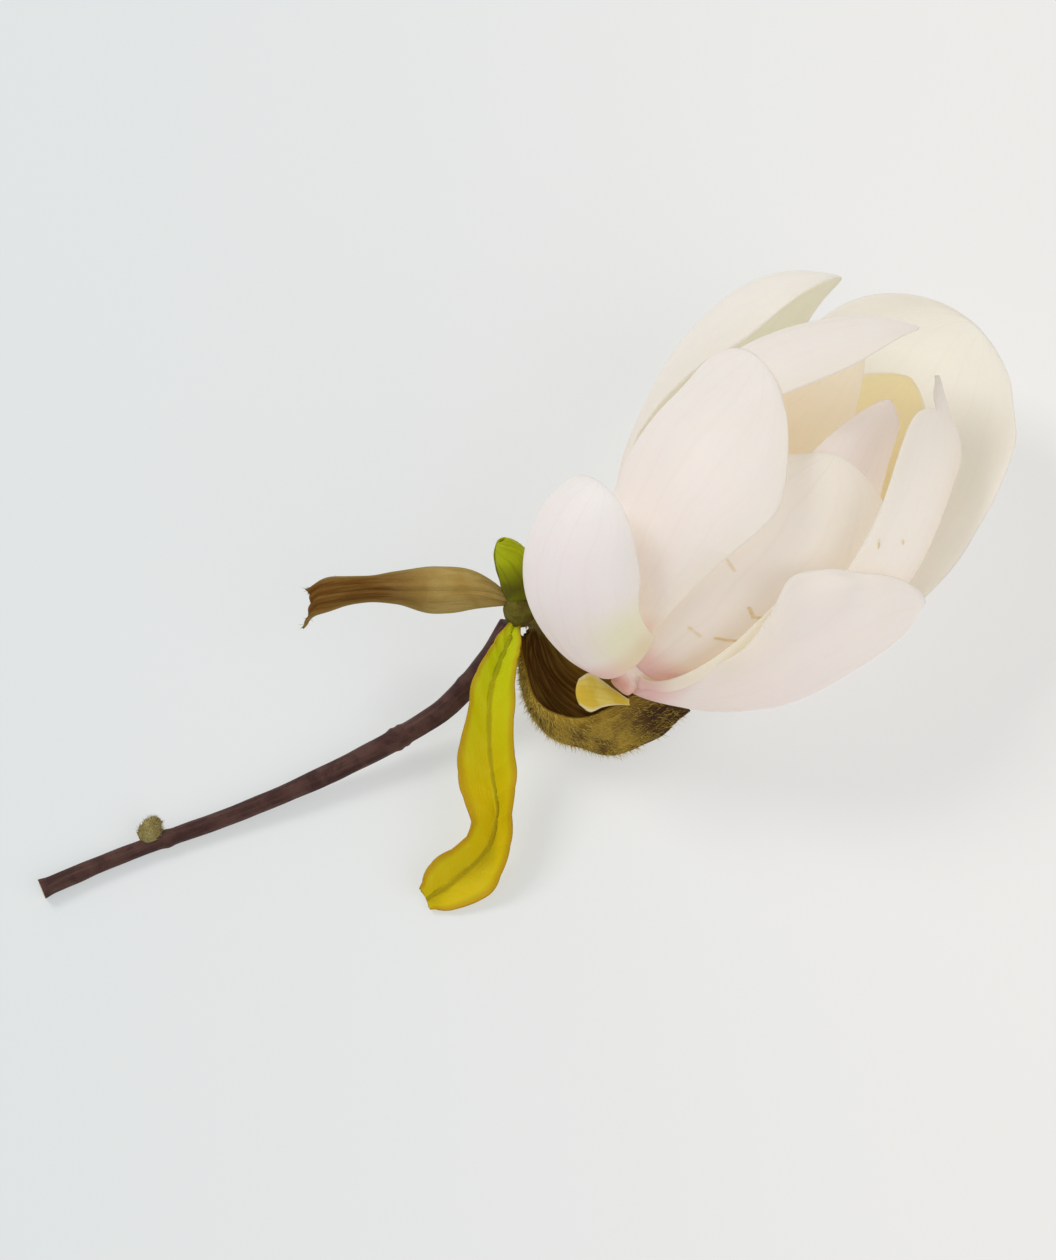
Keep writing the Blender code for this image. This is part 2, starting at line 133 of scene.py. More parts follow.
class Graph:
    """The node tree of one material."""

    def __init__(self, name: str) -> None:
        """Makes an empty material of that name."""
        self.material = bpy.data.materials.new(name)
        self.material.use_nodes = True
        self.nodes = self.material.node_tree.nodes
        self.links = self.material.node_tree.links
        self.nodes.clear()

    def add(self, kind: str, settings: dict | None = None, inputs: dict | None = None,
            output: int | str = 0) -> Value:
        """Adds a node.

        Args:
            kind: the node's type.
            settings: its properties, which are set first.
            inputs: a number, colour or Value for each named or numbered socket.
            output: the socket that the result reads.

        Returns:
            The node's output as a Value.
        """
        node = self.nodes.new(kind)
        for key, setting in (settings or {}).items():
            setattr(node, key, setting)
        for key, value in (inputs or {}).items():
            source = value.source if isinstance(value, Value) else value
            if isinstance(source, bpy.types.NodeSocket):
                self.links.new(source, node.inputs[key])
            else:
                node.inputs[key].default_value = source
        return Value(self, node.outputs[output])

    def number(self, value: float) -> Value:
        """A plain number as a Value, which adds no node."""
        return Value(self, value)

    def attribute(self, name: str) -> tuple[Value, tuple[Value, Value, Value]]:
        """A vector attribute of the mesh, whole and as its three parts."""
        whole = self.add("ShaderNodeAttribute", {"attribute_name": name}, output="Vector")
        parts = self.nodes.new("ShaderNodeSeparateXYZ")
        self.links.new(whole.source, parts.inputs[0])
        return whole, tuple(Value(self, socket) for socket in parts.outputs)

    def noise(self, vector: Value, scale: float, detail: float = 2.0, warp: float = 0.0) -> Value:
        """Noise about 0.5, at a scale in features for each unit of the vector."""
        sockets = {"Vector": vector, "Scale": scale, "Detail": detail, "Distortion": warp}
        return self.add("ShaderNodeTexNoise", {}, sockets)

    def stretched(self, vector: Value, scale: Point) -> Value:
        """A vector multiplied by three factors."""
        return self.add("ShaderNodeVectorMath", {"operation": "MULTIPLY"}, {0: vector, 1: scale})

    def colour(self, colour: Colour) -> tuple[float, float, float, float]:
        """A colour with full alpha."""
        return (*colour, 1.0)

    def mix(self, factor: Value | float, first: "Value | Colour", second: "Value | Colour") -> Value:
        """A blend of two colours."""
        node = self.nodes.new("ShaderNodeMix")
        node.data_type = "RGBA"
        sockets = {"Factor_Float": factor, "A_Color": first, "B_Color": second}
        for socket in node.inputs:
            if socket.identifier not in sockets:
                continue
            value = sockets[socket.identifier]
            if isinstance(value, Value):
                self.links.new(value.source, socket)
            else:
                socket.default_value = self.colour(value) if isinstance(value, tuple) else value
        result = next(socket for socket in node.outputs if socket.identifier == "Result_Color")
        return Value(self, result)

    def bump(self, height: Value, depth: float, strength: float = 1.0) -> Value:
        """A normal from a height of 0 to 1 that stands for a depth in millimetres."""
        sockets = {"Height": height, "Distance": depth * MM, "Strength": strength}
        return self.add("ShaderNodeBump", {}, sockets)

    def principled(self, sockets: dict) -> Value:
        """A Principled shader with the given sockets."""
        return self.add("ShaderNodeBsdfPrincipled", {}, sockets)

    def finish(self, shader: Value) -> bpy.types.Material:
        """Joins a shader to the output and returns the material."""
        self.add_output(shader)
        return self.material

    def add_output(self, shader: Value) -> None:
        """The Material Output node."""
        output = self.nodes.new("ShaderNodeOutputMaterial")
        self.links.new(shader.source, output.inputs["Surface"])


# Finishes


@dataclass(frozen=True)
class Mark:
    """A brown scratch on a tepal: a stroke between two places, each a share along it and a share across."""

    start: tuple[float, float]
    end: tuple[float, float]
    strength: float = 0.6
    stretch: float = 2.4
    half_width: float = 0.010

    def nearness(self, along: Value, across: Value) -> Value:
        """1 on the stroke, falling to 0 at its sides.

        Args:
            along: the share along the tepal, which the stretch brings to the scale of the share across.
            across: the share across it.
        """
        rise, run = (self.end[0] - self.start[0]) * self.stretch, self.end[1] - self.start[1]
        up, side = (along - self.start[0]) * self.stretch, across - self.start[1]
        share = ((up * rise + side * run) * (1.0 / (rise**2 + run**2))).clamped()
        off_up, off_side = up - share * rise, side - share * run
        distance = (off_up * off_up + off_side * off_side) ** 0.5
        return (1.5 - distance * (1.0 / self.half_width)).clamped()


@dataclass(frozen=True)
class PetalFinish:
    """Waxy, faintly veined tissue: a blush up the outer face, and painted shade at the foot of a creamier
    inner face.
    """

    name: str
    outside: Colour = (0.87, 0.84, 0.82)
    blush: Colour = (0.84, 0.75, 0.77)
    blush_strength: float = 0.5
    blush_reach: float = 0.7
    foot: Colour = (0.78, 0.54, 0.52)
    foot_reach: float = 0.10
    inside: Colour = (0.86, 0.83, 0.76)
    # Painted shade deep in the cup: the inner face's colour towards the foot, and how far up it reaches.
    inside_shade: Colour = (0.84, 0.77, 0.56)
    shade_reach: float = 0.45
    green: float = 0.0
    marks: tuple[Mark, ...] = ()
    mark: Colour = (0.68, 0.52, 0.20)

    roughness: float = 0.47
    translucence: float = 0.42
    # Strength of a painted glow that stands for the light that goes from petal to petal.
    glow: float = 0.24
    vein_depth: float = 0.08

    def material(self) -> bpy.types.Material:
        """The petal's material.

        Returns:
            A mix of a Principled and a Translucent shader, which lets more light through near the margin. A
            faint glow stands for the light that goes from petal to petal.
        """
        g = Graph(self.name)
        _, (along, across, inner) = g.attribute("place")
        flow, _ = g.attribute("flow")
        side = abs(across)
        clouds = g.noise(flow, 0.09, 3.0)
        speckle = g.noise(flow, 1.6, 3.0)
        veins = self.veins(g, across, flow)

        middle = (1.0 - side * side * 0.75).clamped()
        blush = middle * along.step(self.blush_reach, 0.1) * (clouds * 1.5 + 0.25)
        outside = g.mix((blush * self.blush_strength).clamped(), self.outside, self.blush)
        outside = g.mix(along.step(self.foot_reach, 0.02) * 0.9, outside, self.foot)
        if self.green:
            tint = along.step(0.32, 0.12) * across.step(0.2, 0.7) * self.green
            outside = g.mix(tint.clamped(), outside, (0.76, 0.78, 0.50))
        # Painted shade: the inner face darkens and yellows towards the foot, deep in the cup.
        cup_shade = along.step(self.shade_reach, 0.05) * (clouds * 0.8 + 0.6)
        inside = g.mix(cup_shade.clamped(), self.inside, self.inside_shade)
        colour = g.mix(inner, outside, inside)
        colour = g.mix((veins * 0.14 + (speckle - 0.5) * 0.08).clamped(), colour, (0.76, 0.66, 0.58))
        # Paler margins: painted light where the thin rim lets light through.
        colour = g.mix(side.step(0.8, 1.0) * 0.35, colour, (0.95, 0.92, 0.87))
        colour = self.marked(g, colour, along, across, flow)

        height = veins * 0.5 + speckle * 0.35 + g.noise(flow, 6.0, 2.0) * 0.15
        normal = g.bump(height, self.vein_depth)
        principled = g.principled({
            "Base Color": colour,
            "Roughness": self.roughness + (clouds - 0.5) * 0.15,
            "Normal": normal,
            "Subsurface Weight": 0.22,
            "Subsurface Radius": (1.0, 0.62, 0.5),
            "Subsurface Scale": 0.9 * MM,
            "Specular IOR Level": 0.35,
            "Sheen Weight": 0.12,
            "Sheen Roughness": 0.5,
            # Emission: a painted glow that stands for the light passed from petal to petal.
            "Emission Color": colour,
            "Emission Strength": self.glow,
        })
        through = g.add("ShaderNodeBsdfTranslucent", {}, {"Color": colour})
        share = self.translucence + side.step(0.7, 1.0) * 0.12
        return g.finish(g.add("ShaderNodeMixShader", {}, {0: share, 1: principled, 2: through}))

    def veins(self, g: Graph, across: Value, flow: Value) -> Value:
        """Fine lines from foot to tip: thin crests of two sines across the petal, each bent by noise."""
        bend = (g.noise(flow, 0.12, 2.0) - 0.5) * 0.5
        coarse = 1.0 - abs((across * 13.0 + bend * 5.0).sine())
        fine = 1.0 - abs((across * 41.0 + bend * 12.0).sine())
        return (coarse ** 5.0 * 0.7 + fine ** 3.0 * 0.3).clamped()

    def marked(self, g: Graph, colour: Value, along: Value, across: Value, flow: Value) -> Value:
        """The colour with each scratch drawn on it, darker in places."""
        uneven = g.noise(flow, 0.8, 2.0).step(0.3, 0.6) * 0.6 + 0.4
        for mark in self.marks:
            colour = g.mix(mark.nearness(along, across) * uneven * mark.strength, colour, self.mark)
        return colour


@dataclass(frozen=True)
class PlantFinish:
    """Mottled plant tissue in three colours, with ribs along it and pores."""

    name: str
    base: Colour
    patch: Colour
    line: Colour
    roughness: float = 0.55
    patch_scale: float = 0.25
    line_share: float = 0.35
    line_stretch: Point = (2.6, 2.6, 0.16)
    depth: float = 0.12
    subsurface: float = 0.0
    margin: Colour | None = None
    margin_share: float = 0.6
    inside: Colour | None = None
    far: Colour | None = None
    far_from: tuple[float, float] = (0.4, 0.7)
    # Painted shade along the middle, where a folded sheet creases.
    crease_line: Colour | None = None

    def material(self) -> bpy.types.Material:
        """The tissue's material."""
        g = Graph(self.name)
        _, (along, across, inner) = g.attribute("place")
        flow, _ = g.attribute("flow")
        patches = g.noise(flow, self.patch_scale, 4.0, 0.4)
        lines = g.noise(g.stretched(flow, self.line_stretch), 1.0, 3.0)
        grain = g.noise(flow, 5.0, 3.0)
        colour = g.mix(patches.step(0.38, 0.64), self.base, self.patch)
        colour = g.mix(lines.step(0.5, 0.72) * self.line_share, colour, self.line)
        if self.inside:
            face = g.mix(lines.step(0.35, 0.8) * 0.5, self.inside, self.base)
            colour = g.mix(inner, colour, face)
        if self.far:
            end = g.mix(lines.step(0.4, 0.8) * 0.4, self.far, self.base)
            colour = g.mix(along.step(*self.far_from), colour, end)
        # Painted shade: a dark line along the middle fold.
        if self.crease_line:
            colour = g.mix((1.0 - abs(across) * 12.0).clamped() * 0.55, colour, self.crease_line)
        if self.margin:
            colour = g.mix(abs(across).step(0.72, 1.0) * self.margin_share, colour, self.margin)
        normal = g.bump(lines * 0.6 + grain * 0.4, self.depth)
        return g.finish(g.principled({
            "Base Color": colour,
            "Roughness": self.roughness + (grain - 0.5) * 0.25,
            "Normal": normal,
            "Subsurface Weight": self.subsurface,
            "Subsurface Radius": (1.0, 0.8, 0.3),
            "Subsurface Scale": 0.6 * MM,
            "Specular IOR Level": 0.14,
        }))


# Surfaces


def ripples(points: Array, size: float, seed: int, waves: int = 9) -> Array:
    """Smooth noise between about -1 and 1: a sum of plane waves of seeded directions and phases.

    Args:
        points: places, in millimetres, on the last axis.
        size: the wavelength, in millimetres.
        seed: picks the waves.
        waves: how many there are.

    Returns:
        One number for each place.
    """
    rng = np.random.default_rng(seed)
    turns = rng.normal(size=(points.shape[-1], waves))
    turns *= 2 * np.pi / (size * np.linalg.norm(turns, axis=0)) * rng.uniform(0.6, 1.4, waves)
    return np.sin(points @ turns + rng.uniform(0, 2 * np.pi, waves)).sum(-1) / np.sqrt(2.0 * waves)


def smooth_line(points: Sequence, count: int) -> Array:
    """Points evenly along a Catmull-Rom curve through the given ones."""
    given = np.array(points, float)
    padded = np.concatenate([[2 * given[0] - given[1]], given, [2 * given[-1] - given[-2]]])
    place = np.linspace(0, len(given) - 1, count)
    i = np.minimum(place.astype(int), len(given) - 2)
    t = (place - i)[:, None]
    a, b, c, d = (padded[i + k] for k in range(4))
    return 0.5 * (2 * b + (c - a) * t + (2 * a - 5 * b + 4 * c - d) * t**2 + (3 * b - a - 3 * c + d) * t**3)


def between_lines(lines: Sequence, rows: int, columns: int, fold: float) -> Array:
    """A surface through an edge, a middle line and another edge.

    The point at a share across is the middle, plus that share of half the way between the edges, plus a
    power of the share times what the edges' mean lies off the middle. A power of 1 is a crease and 2 a round
    trough.
    """
    first, middle, last = (smooth_line(line, rows)[:, None] for line in lines)
    across = np.linspace(-1, 1, columns)[None, :, None]
    return middle + across * (last - first) / 2 + np.abs(across) ** fold * ((first + last) / 2 - middle)


def normals(grid: Array) -> Array:
    """Unit normals of a grid of points: across its columns times along its rows."""
    normal = np.cross(np.gradient(grid, axis=1), np.gradient(grid, axis=0))
    return normal / np.maximum(np.linalg.norm(normal, axis=-1, keepdims=True), 1e-9)


def running_length(line: Array) -> Array:
    """Distance along a line of points, from 0."""
    return np.concatenate([[0.0], np.cumsum(np.linalg.norm(np.diff(line, axis=0), axis=1))])


def add_piece(name: str, points: Array, faces: Array | list, place: Array, flow: Array,
              material: bpy.types.Material, replaces: str | None = None) -> bpy.types.Object:
    """Makes a mesh object that rides on the bud.

    Args:
        name: the piece's name.
        points: its vertices, in millimetres from the node's foot.
        faces: vertex numbers of each face.
        place: for each vertex the share along, the share across and 1 on an inner face.
        flow: for each vertex a place on the unrolled surface, in millimetres.
        material: its finish.
        replaces: the CAD node that it stands for.

    Returns:
        The object.
    """
    mesh = bpy.data.meshes.new(name)
    mesh.from_pydata(to_metres(points), [], faces)
    for key, values in (("place", place), ("flow", flow)):
        layer = mesh.attributes.new(key, "FLOAT_VECTOR", "POINT")
        layer.data.foreach_set("vector", np.asarray(values, np.float32).ravel())
    mesh.materials.append(material)
    mesh.shade_smooth()
    mesh.update()
    obj = bpy.data.objects.new(name, mesh)
    bpy.context.scene.collection.objects.link(obj)
    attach(obj, BODY)
    if replaces:
        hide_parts(replaces)
    log.info("%s: %d vertices, %d faces", name, len(mesh.vertices), len(mesh.polygons))
    return obj


def grid_faces(rows: int, columns: int, wrap: bool = False) -> Array:
    """Quads of a grid of vertices, numbered along its rows, closed across them where it wraps."""
    number = np.arange(rows * columns).reshape(rows, columns)
    right = np.roll(number, -1, axis=1) if wrap else number[:, 1:]
    left = number if wrap else number[:, :-1]
    return np.stack([left[:-1], right[:-1], right[1:], left[1:]], axis=-1).reshape(-1, 4)


def add_shell(name: str, middle: Array, thickness: Array, material: bpy.types.Material,
              replaces: str | None = None) -> bpy.types.Object:
    """Gives a grid of points a thickness and closes it all round.

    Each point goes half the thickness out along the normal for the outer face and half in for the inner one.
    A strip of faces joins the two along the rim.

    Args:
        name: the piece's name.
        middle: its middle surface, as rows of points.
        thickness: at each point, in millimetres.
        material: its finish.
        replaces: the CAD node that it stands for.

    Returns:
        The object.
    """
    rows, columns = middle.shape[:2]
    offset = normals(middle) * thickness[..., None] / 2
    points = np.concatenate([(middle + offset).reshape(-1, 3), (middle - offset).reshape(-1, 3)])
    count = rows * columns
    outer = grid_faces(rows, columns)
    number = np.arange(count).reshape(rows, columns)
    rim = np.concatenate([number[0, :-1], number[:-1, -1], number[-1, :0:-1], number[:0:-1, 0]])
    after = np.roll(rim, -1)
    strip = np.stack([after, rim, rim + count, after + count], axis=-1)
    faces = np.concatenate([outer, outer[:, ::-1] + count, strip])
    along = np.broadcast_to(np.linspace(0, 1, rows)[:, None], (rows, columns))
    across = np.broadcast_to(np.linspace(-1, 1, columns)[None, :], (rows, columns))
    length = running_length(middle[:, columns // 2])[:, None]
    reach = np.cumsum(np.linalg.norm(np.diff(middle, axis=1, prepend=middle[:, :1]), axis=-1), axis=1)
    reach = reach - reach[:, columns // 2:columns // 2 + 1]
    one = [np.stack([along, across, np.full_like(along, face)], -1).reshape(-1, 3) for face in (0.0, 1.0)]
    flow = np.stack([reach, np.zeros_like(reach), np.broadcast_to(length, reach.shape)], -1).reshape(-1, 3)
    return add_piece(name, points, faces, np.concatenate(one), np.concatenate([flow, flow + (0, 7.0, 0)]),
                     material, replaces)


def carried_frames(line: Array) -> tuple[Array, Array]:
    """Two directions across a line at each of its points, carried along it without twisting."""
    tangent = np.gradient(line, axis=0)
    tangent /= np.linalg.norm(tangent, axis=1, keepdims=True)
    start = np.cross(tangent[0], (0.0, 0.0, 1.0) if abs(tangent[0][2]) < 0.9 else (0.0, 1.0, 0.0))
    first = [start / np.linalg.norm(start)]
    for way in tangent[1:]:
        flat = first[-1] - way * first[-1].dot(way)
        first.append(flat / np.linalg.norm(flat))
    first = np.array(first)
    return first, np.cross(tangent, first)


def tube_points(line: Array, radius: Array) -> Array:
    """Rings of points round a line.

    Args:
        line: the middle of the tube.
        radius: for each point of the line and each turn round it.

    Returns:
        A grid of points, one row for each ring.
    """
    turn = np.linspace(0, 2 * np.pi, radius.shape[1], endpoint=False)
    first, second = carried_frames(line)
    ring = np.cos(turn)[None, :, None] * first[:, None] + np.sin(turn)[None, :, None] * second[:, None]
    return line[:, None] + ring * radius[..., None]


def add_tube(name: str, line: Array, radius: Array, material: bpy.types.Material,
             replaces: str | None = None, cut: Array | None = None) -> bpy.types.Object:
    """A closed tube, each end closed to a point in its middle.

    Args:
        name: the piece's name.
        line: the middle of the tube.
        radius: for each point of the line and each turn round it.
        material: its finish.
        replaces: the CAD node that it stands for.
        cut: for each ring 1 where it belongs to a cut face.

    Returns:
        The object.
    """
    rings, sides = radius.shape
    grid = tube_points(line, radius)
    points = np.concatenate([grid.reshape(-1, 3), line[:1], line[-1:]])
    body = grid_faces(rings, sides, wrap=True)[:, ::-1]
    first, last = np.arange(sides), np.arange(sides) + (rings - 1) * sides
    low, high = rings * sides, rings * sides + 1
    ends = [[low, a, b] for a, b in zip(first, np.roll(first, -1))]
    ends += [[high, b, a] for a, b in zip(last, np.roll(last, -1))]
    turn = np.linspace(0, 2 * np.pi, sides, endpoint=False)[None, :]
    length = running_length(line)
    share = length / length[-1]
    cut = np.zeros(rings) if cut is None else cut
    flow = np.stack([np.cos(turn) * radius, np.sin(turn) * radius,
                     np.broadcast_to(length[:, None], radius.shape)], -1).reshape(-1, 3)
    place = np.stack([np.broadcast_to(share[:, None], radius.shape), np.zeros(radius.shape),
                      np.broadcast_to(cut[:, None], radius.shape)], -1).reshape(-1, 3)
    flow = np.concatenate([flow, [(0, 0, length[0]), (0, 0, length[-1])]])
    place = np.concatenate([place, [(0, 0, cut[0]), (1, 0, cut[-1])]])
    return add_piece(name, points, body.tolist() + ends, place, flow, material, replaces)


def add_hairs(name: str, roots: Array, ways: Array, lengths: Array, radius: float,
              material: bpy.types.Material, seed: int) -> bpy.types.Object:
    """Many fine hairs, each a bent three-sided spike.

    A hair has a triangle at its root, a smaller one bent aside at half its length and a point at its tip.

    Args:
        name: the piece's name.
        roots: where the hairs stand.
        ways: the unit directions in which they grow.
        lengths: their lengths, in millimetres.
        radius: at the root, in millimetres.
        material: their finish.
        seed: picks how they bend.

    Returns:
        The object.
    """
    rng = np.random.default_rng(seed)
    count = len(roots)
    helper = np.where(np.abs(ways[:, 2:]) < 0.9, (0.0, 0.0, 1.0), (1.0, 0.0, 0.0))
    first = np.cross(ways, helper)
    first /= np.linalg.norm(first, axis=1, keepdims=True)
    second = np.cross(ways, first)
    bend = rng.normal(scale=0.22, size=(count, 3)) * lengths[:, None]
    turn = np.arange(3) * 2 * np.pi / 3
    cos, sin = np.cos(turn)[None, :, None], np.sin(turn)[None, :, None]
    ring = (cos * first[:, None] + sin * second[:, None]) * radius
    reach = ways * lengths[:, None]
    low = roots[:, None] + ring
    middle = (roots + reach * 0.5 + bend * 0.35)[:, None] + ring * 0.65
    tip = (roots + reach + bend)[:, None]
    points = np.concatenate([low, middle, tip], axis=1)
    pattern = [(0, 1, 4, 3), (1, 2, 5, 4), (2, 0, 3, 5)]
    start = np.arange(count)[:, None, None] * 7
    quads = (np.array(pattern)[None] + start).reshape(-1, 4)
    tops = (np.array([(3, 4, 6), (4, 5, 6), (5, 3, 6), (0, 2, 1)])[None] + start).reshape(-1, 3)
    share = np.tile([0, 0, 0, 0.5, 0.5, 0.5, 1.0], count)
    place = np.stack([share, np.repeat(rng.uniform(-1, 1, count), 7), np.zeros(count * 7)], -1)
    points = points.reshape(-1, 3)
    return add_piece(name, points, quads.tolist() + tops.tolist(), place, points, material)


# The bloom


@dataclass(frozen=True)
class Axis:
    """The bloom's own frame: where its base is and how its axis points along and above the surface."""

    base: Point = (13.4, -14.9, 15.0)
    heading: float = 49.0
    rise: float = 12.0

    def ways(self) -> Array:
        """Unit vectors along the axis, up from it, and to the front right of it."""
        heading, rise = np.radians([self.heading, self.rise])
        axis = np.array([np.cos(heading) * np.cos(rise), np.sin(heading) * np.cos(rise), np.sin(rise)])
        upward = np.array([0.0, 0.0, 1.0]) - axis[2] * axis
        upward /= np.linalg.norm(upward)
        return np.array([axis, upward, np.cross(axis, upward)])

    def out(self, points: Array) -> Array:
        """Points of this frame, seen from the foot of the node."""
        return np.array(self.base) + points @ self.ways()

    def back(self, points: Array) -> Array:
        """Points seen from the foot of the node, in this frame."""
        return (points - np.array(self.base)) @ self.ways().T

    @staticmethod
    def round_it(grid: Array) -> tuple[Array, Array, Array]:
        """Distance along the axis, turn round it as a share of a circle, and distance from it."""
        turn = np.arctan2(grid[..., 2], grid[..., 1]) / (2 * np.pi) + 0.5
        return grid[..., 0], turn, np.hypot(grid[..., 1], grid[..., 2])


@dataclass
class OuterMap:
    """The largest radius of the tepals so far, as a map along the axis and round it."""

    low: float = -10.0
    high: float = 100.0
    rows: int = 220
    columns: int = 240
    grow: int = 2
    soften: int = 2
    steepest: float = 1.2
    spacing: float = 0.8
    joined: float = 9.0
    soft: float = 0.4
    radii: Array = field(init=False)

    def __post_init__(self) -> None:
        """Starts with nothing on the map."""
        self.radii = np.zeros((self.rows, self.columns))

    def add(self, grid: Array) -> None:
        """Raises the map to a tepal's own radius, read between its points as well."""
        for axis in (0, 1):
            grid = np.moveaxis(grid, axis, 0)
            place = np.linspace(0, len(grid) - 1, (len(grid) - 1) * 3 + 1)
            low = np.minimum(place.astype(int), len(grid) - 2)
            part = (place - low)[:, None, None]
            grid = np.moveaxis(grid[low] * (1 - part) + grid[low + 1] * part, 0, axis)
        along, turn, radius = Axis.round_it(grid)
        row = ((along - self.low) / (self.high - self.low) * self.rows).astype(int).clip(0, self.rows - 1)
        column = (turn * self.columns).astype(int) % self.columns
        np.maximum.at(self.radii, (row, column), radius)

    @staticmethod
    def shifts(values: Array, reach: int, axis: int) -> list[Array]:
        """The map moved by each step up to a reach along one axis."""
        return [np.roll(values, k, axis) for k in range(-reach, reach + 1)]

    def slope(self, outer: Array, cell: Array | float, axis: int) -> Array:
        """Rise for each millimetre along an axis, where there is a tepal on both sides."""
        ahead, behind = np.roll(outer, -1, axis), np.roll(outer, 1, axis)
        rise = np.where((ahead > 0) & (behind > 0), (ahead - behind) / (2 * cell), 0.0)
        return rise.clip(-self.steepest, self.steepest)

    def room(self) -> Array:
        """The least radius of the next tepal: the map grown sideways, raised by the spacing and blurred."""
        outer = self.radii
        for axis in (0, 1):
            outer = np.max(self.shifts(outer, self.grow, axis), axis=0)
        around = np.maximum(outer, 1.0) * 2 * np.pi / self.columns
        cell = (self.high - self.low) / self.rows
        steep = np.hypot(self.slope(outer, cell, 0), self.slope(outer, around, 1))
        outer = np.where(outer > 0, outer + self.spacing * np.hypot(1.0, steep), 0.0)
        for axis in (0, 1, 0, 1):
            outer = np.mean(self.shifts(outer, self.soften, axis), axis=0)
        return outer

    def lay(self, grid: Array) -> Array:
        """The grid pushed away from the axis to the least radius of the map.

        The push is smoothed along the grid and fades out towards the foot, where the tepals grow together.
        """
        if not self.radii.any():
            return grid
        outer = self.room()
        along, turn, radius = Axis.round_it(grid)
        row = np.clip((along - self.low) / (self.high - self.low) * self.rows - 0.5, 0, self.rows - 1.001)
        column = turn * self.columns - 0.5
        r0, c0 = np.floor(row).astype(int), np.floor(column).astype(int)
        fr, fc = row - r0, column - c0
        c0, c1 = c0 % self.columns, (c0 + 1) % self.columns
        least = ((outer[r0, c0] * (1 - fc) + outer[r0, c1] * fc) * (1 - fr)
                 + (outer[r0 + 1, c0] * (1 - fc) + outer[r0 + 1, c1] * fc) * fr)
        pushed = least + self.soft * np.logaddexp(0, (radius - least) / self.soft)
        push = np.where(least > 0.01, np.maximum(pushed - radius, 0), 0)
        push = box_blur(push, 3) * np.clip(along / self.joined, 0.0, 1.0)
        factor = 1 + push / np.maximum(radius, 0.01)
        return np.concatenate([grid[..., :1], grid[..., 1:] * factor[..., None]], axis=-1)


def box_blur(values: Array, reach: int) -> Array:
    """Two running means along each axis of a grid, its edges repeated."""
    for axis in (0, 1, 0, 1):
        pad = [(reach, reach) if k == axis else (0, 0) for k in (0, 1)]
        wide = np.pad(values, pad, mode="edge")
        count, span = values.shape[axis], 2 * reach + 1
        values = sum(np.take(wide, np.arange(k, k + count), axis) for k in range(span)) / span
    return values


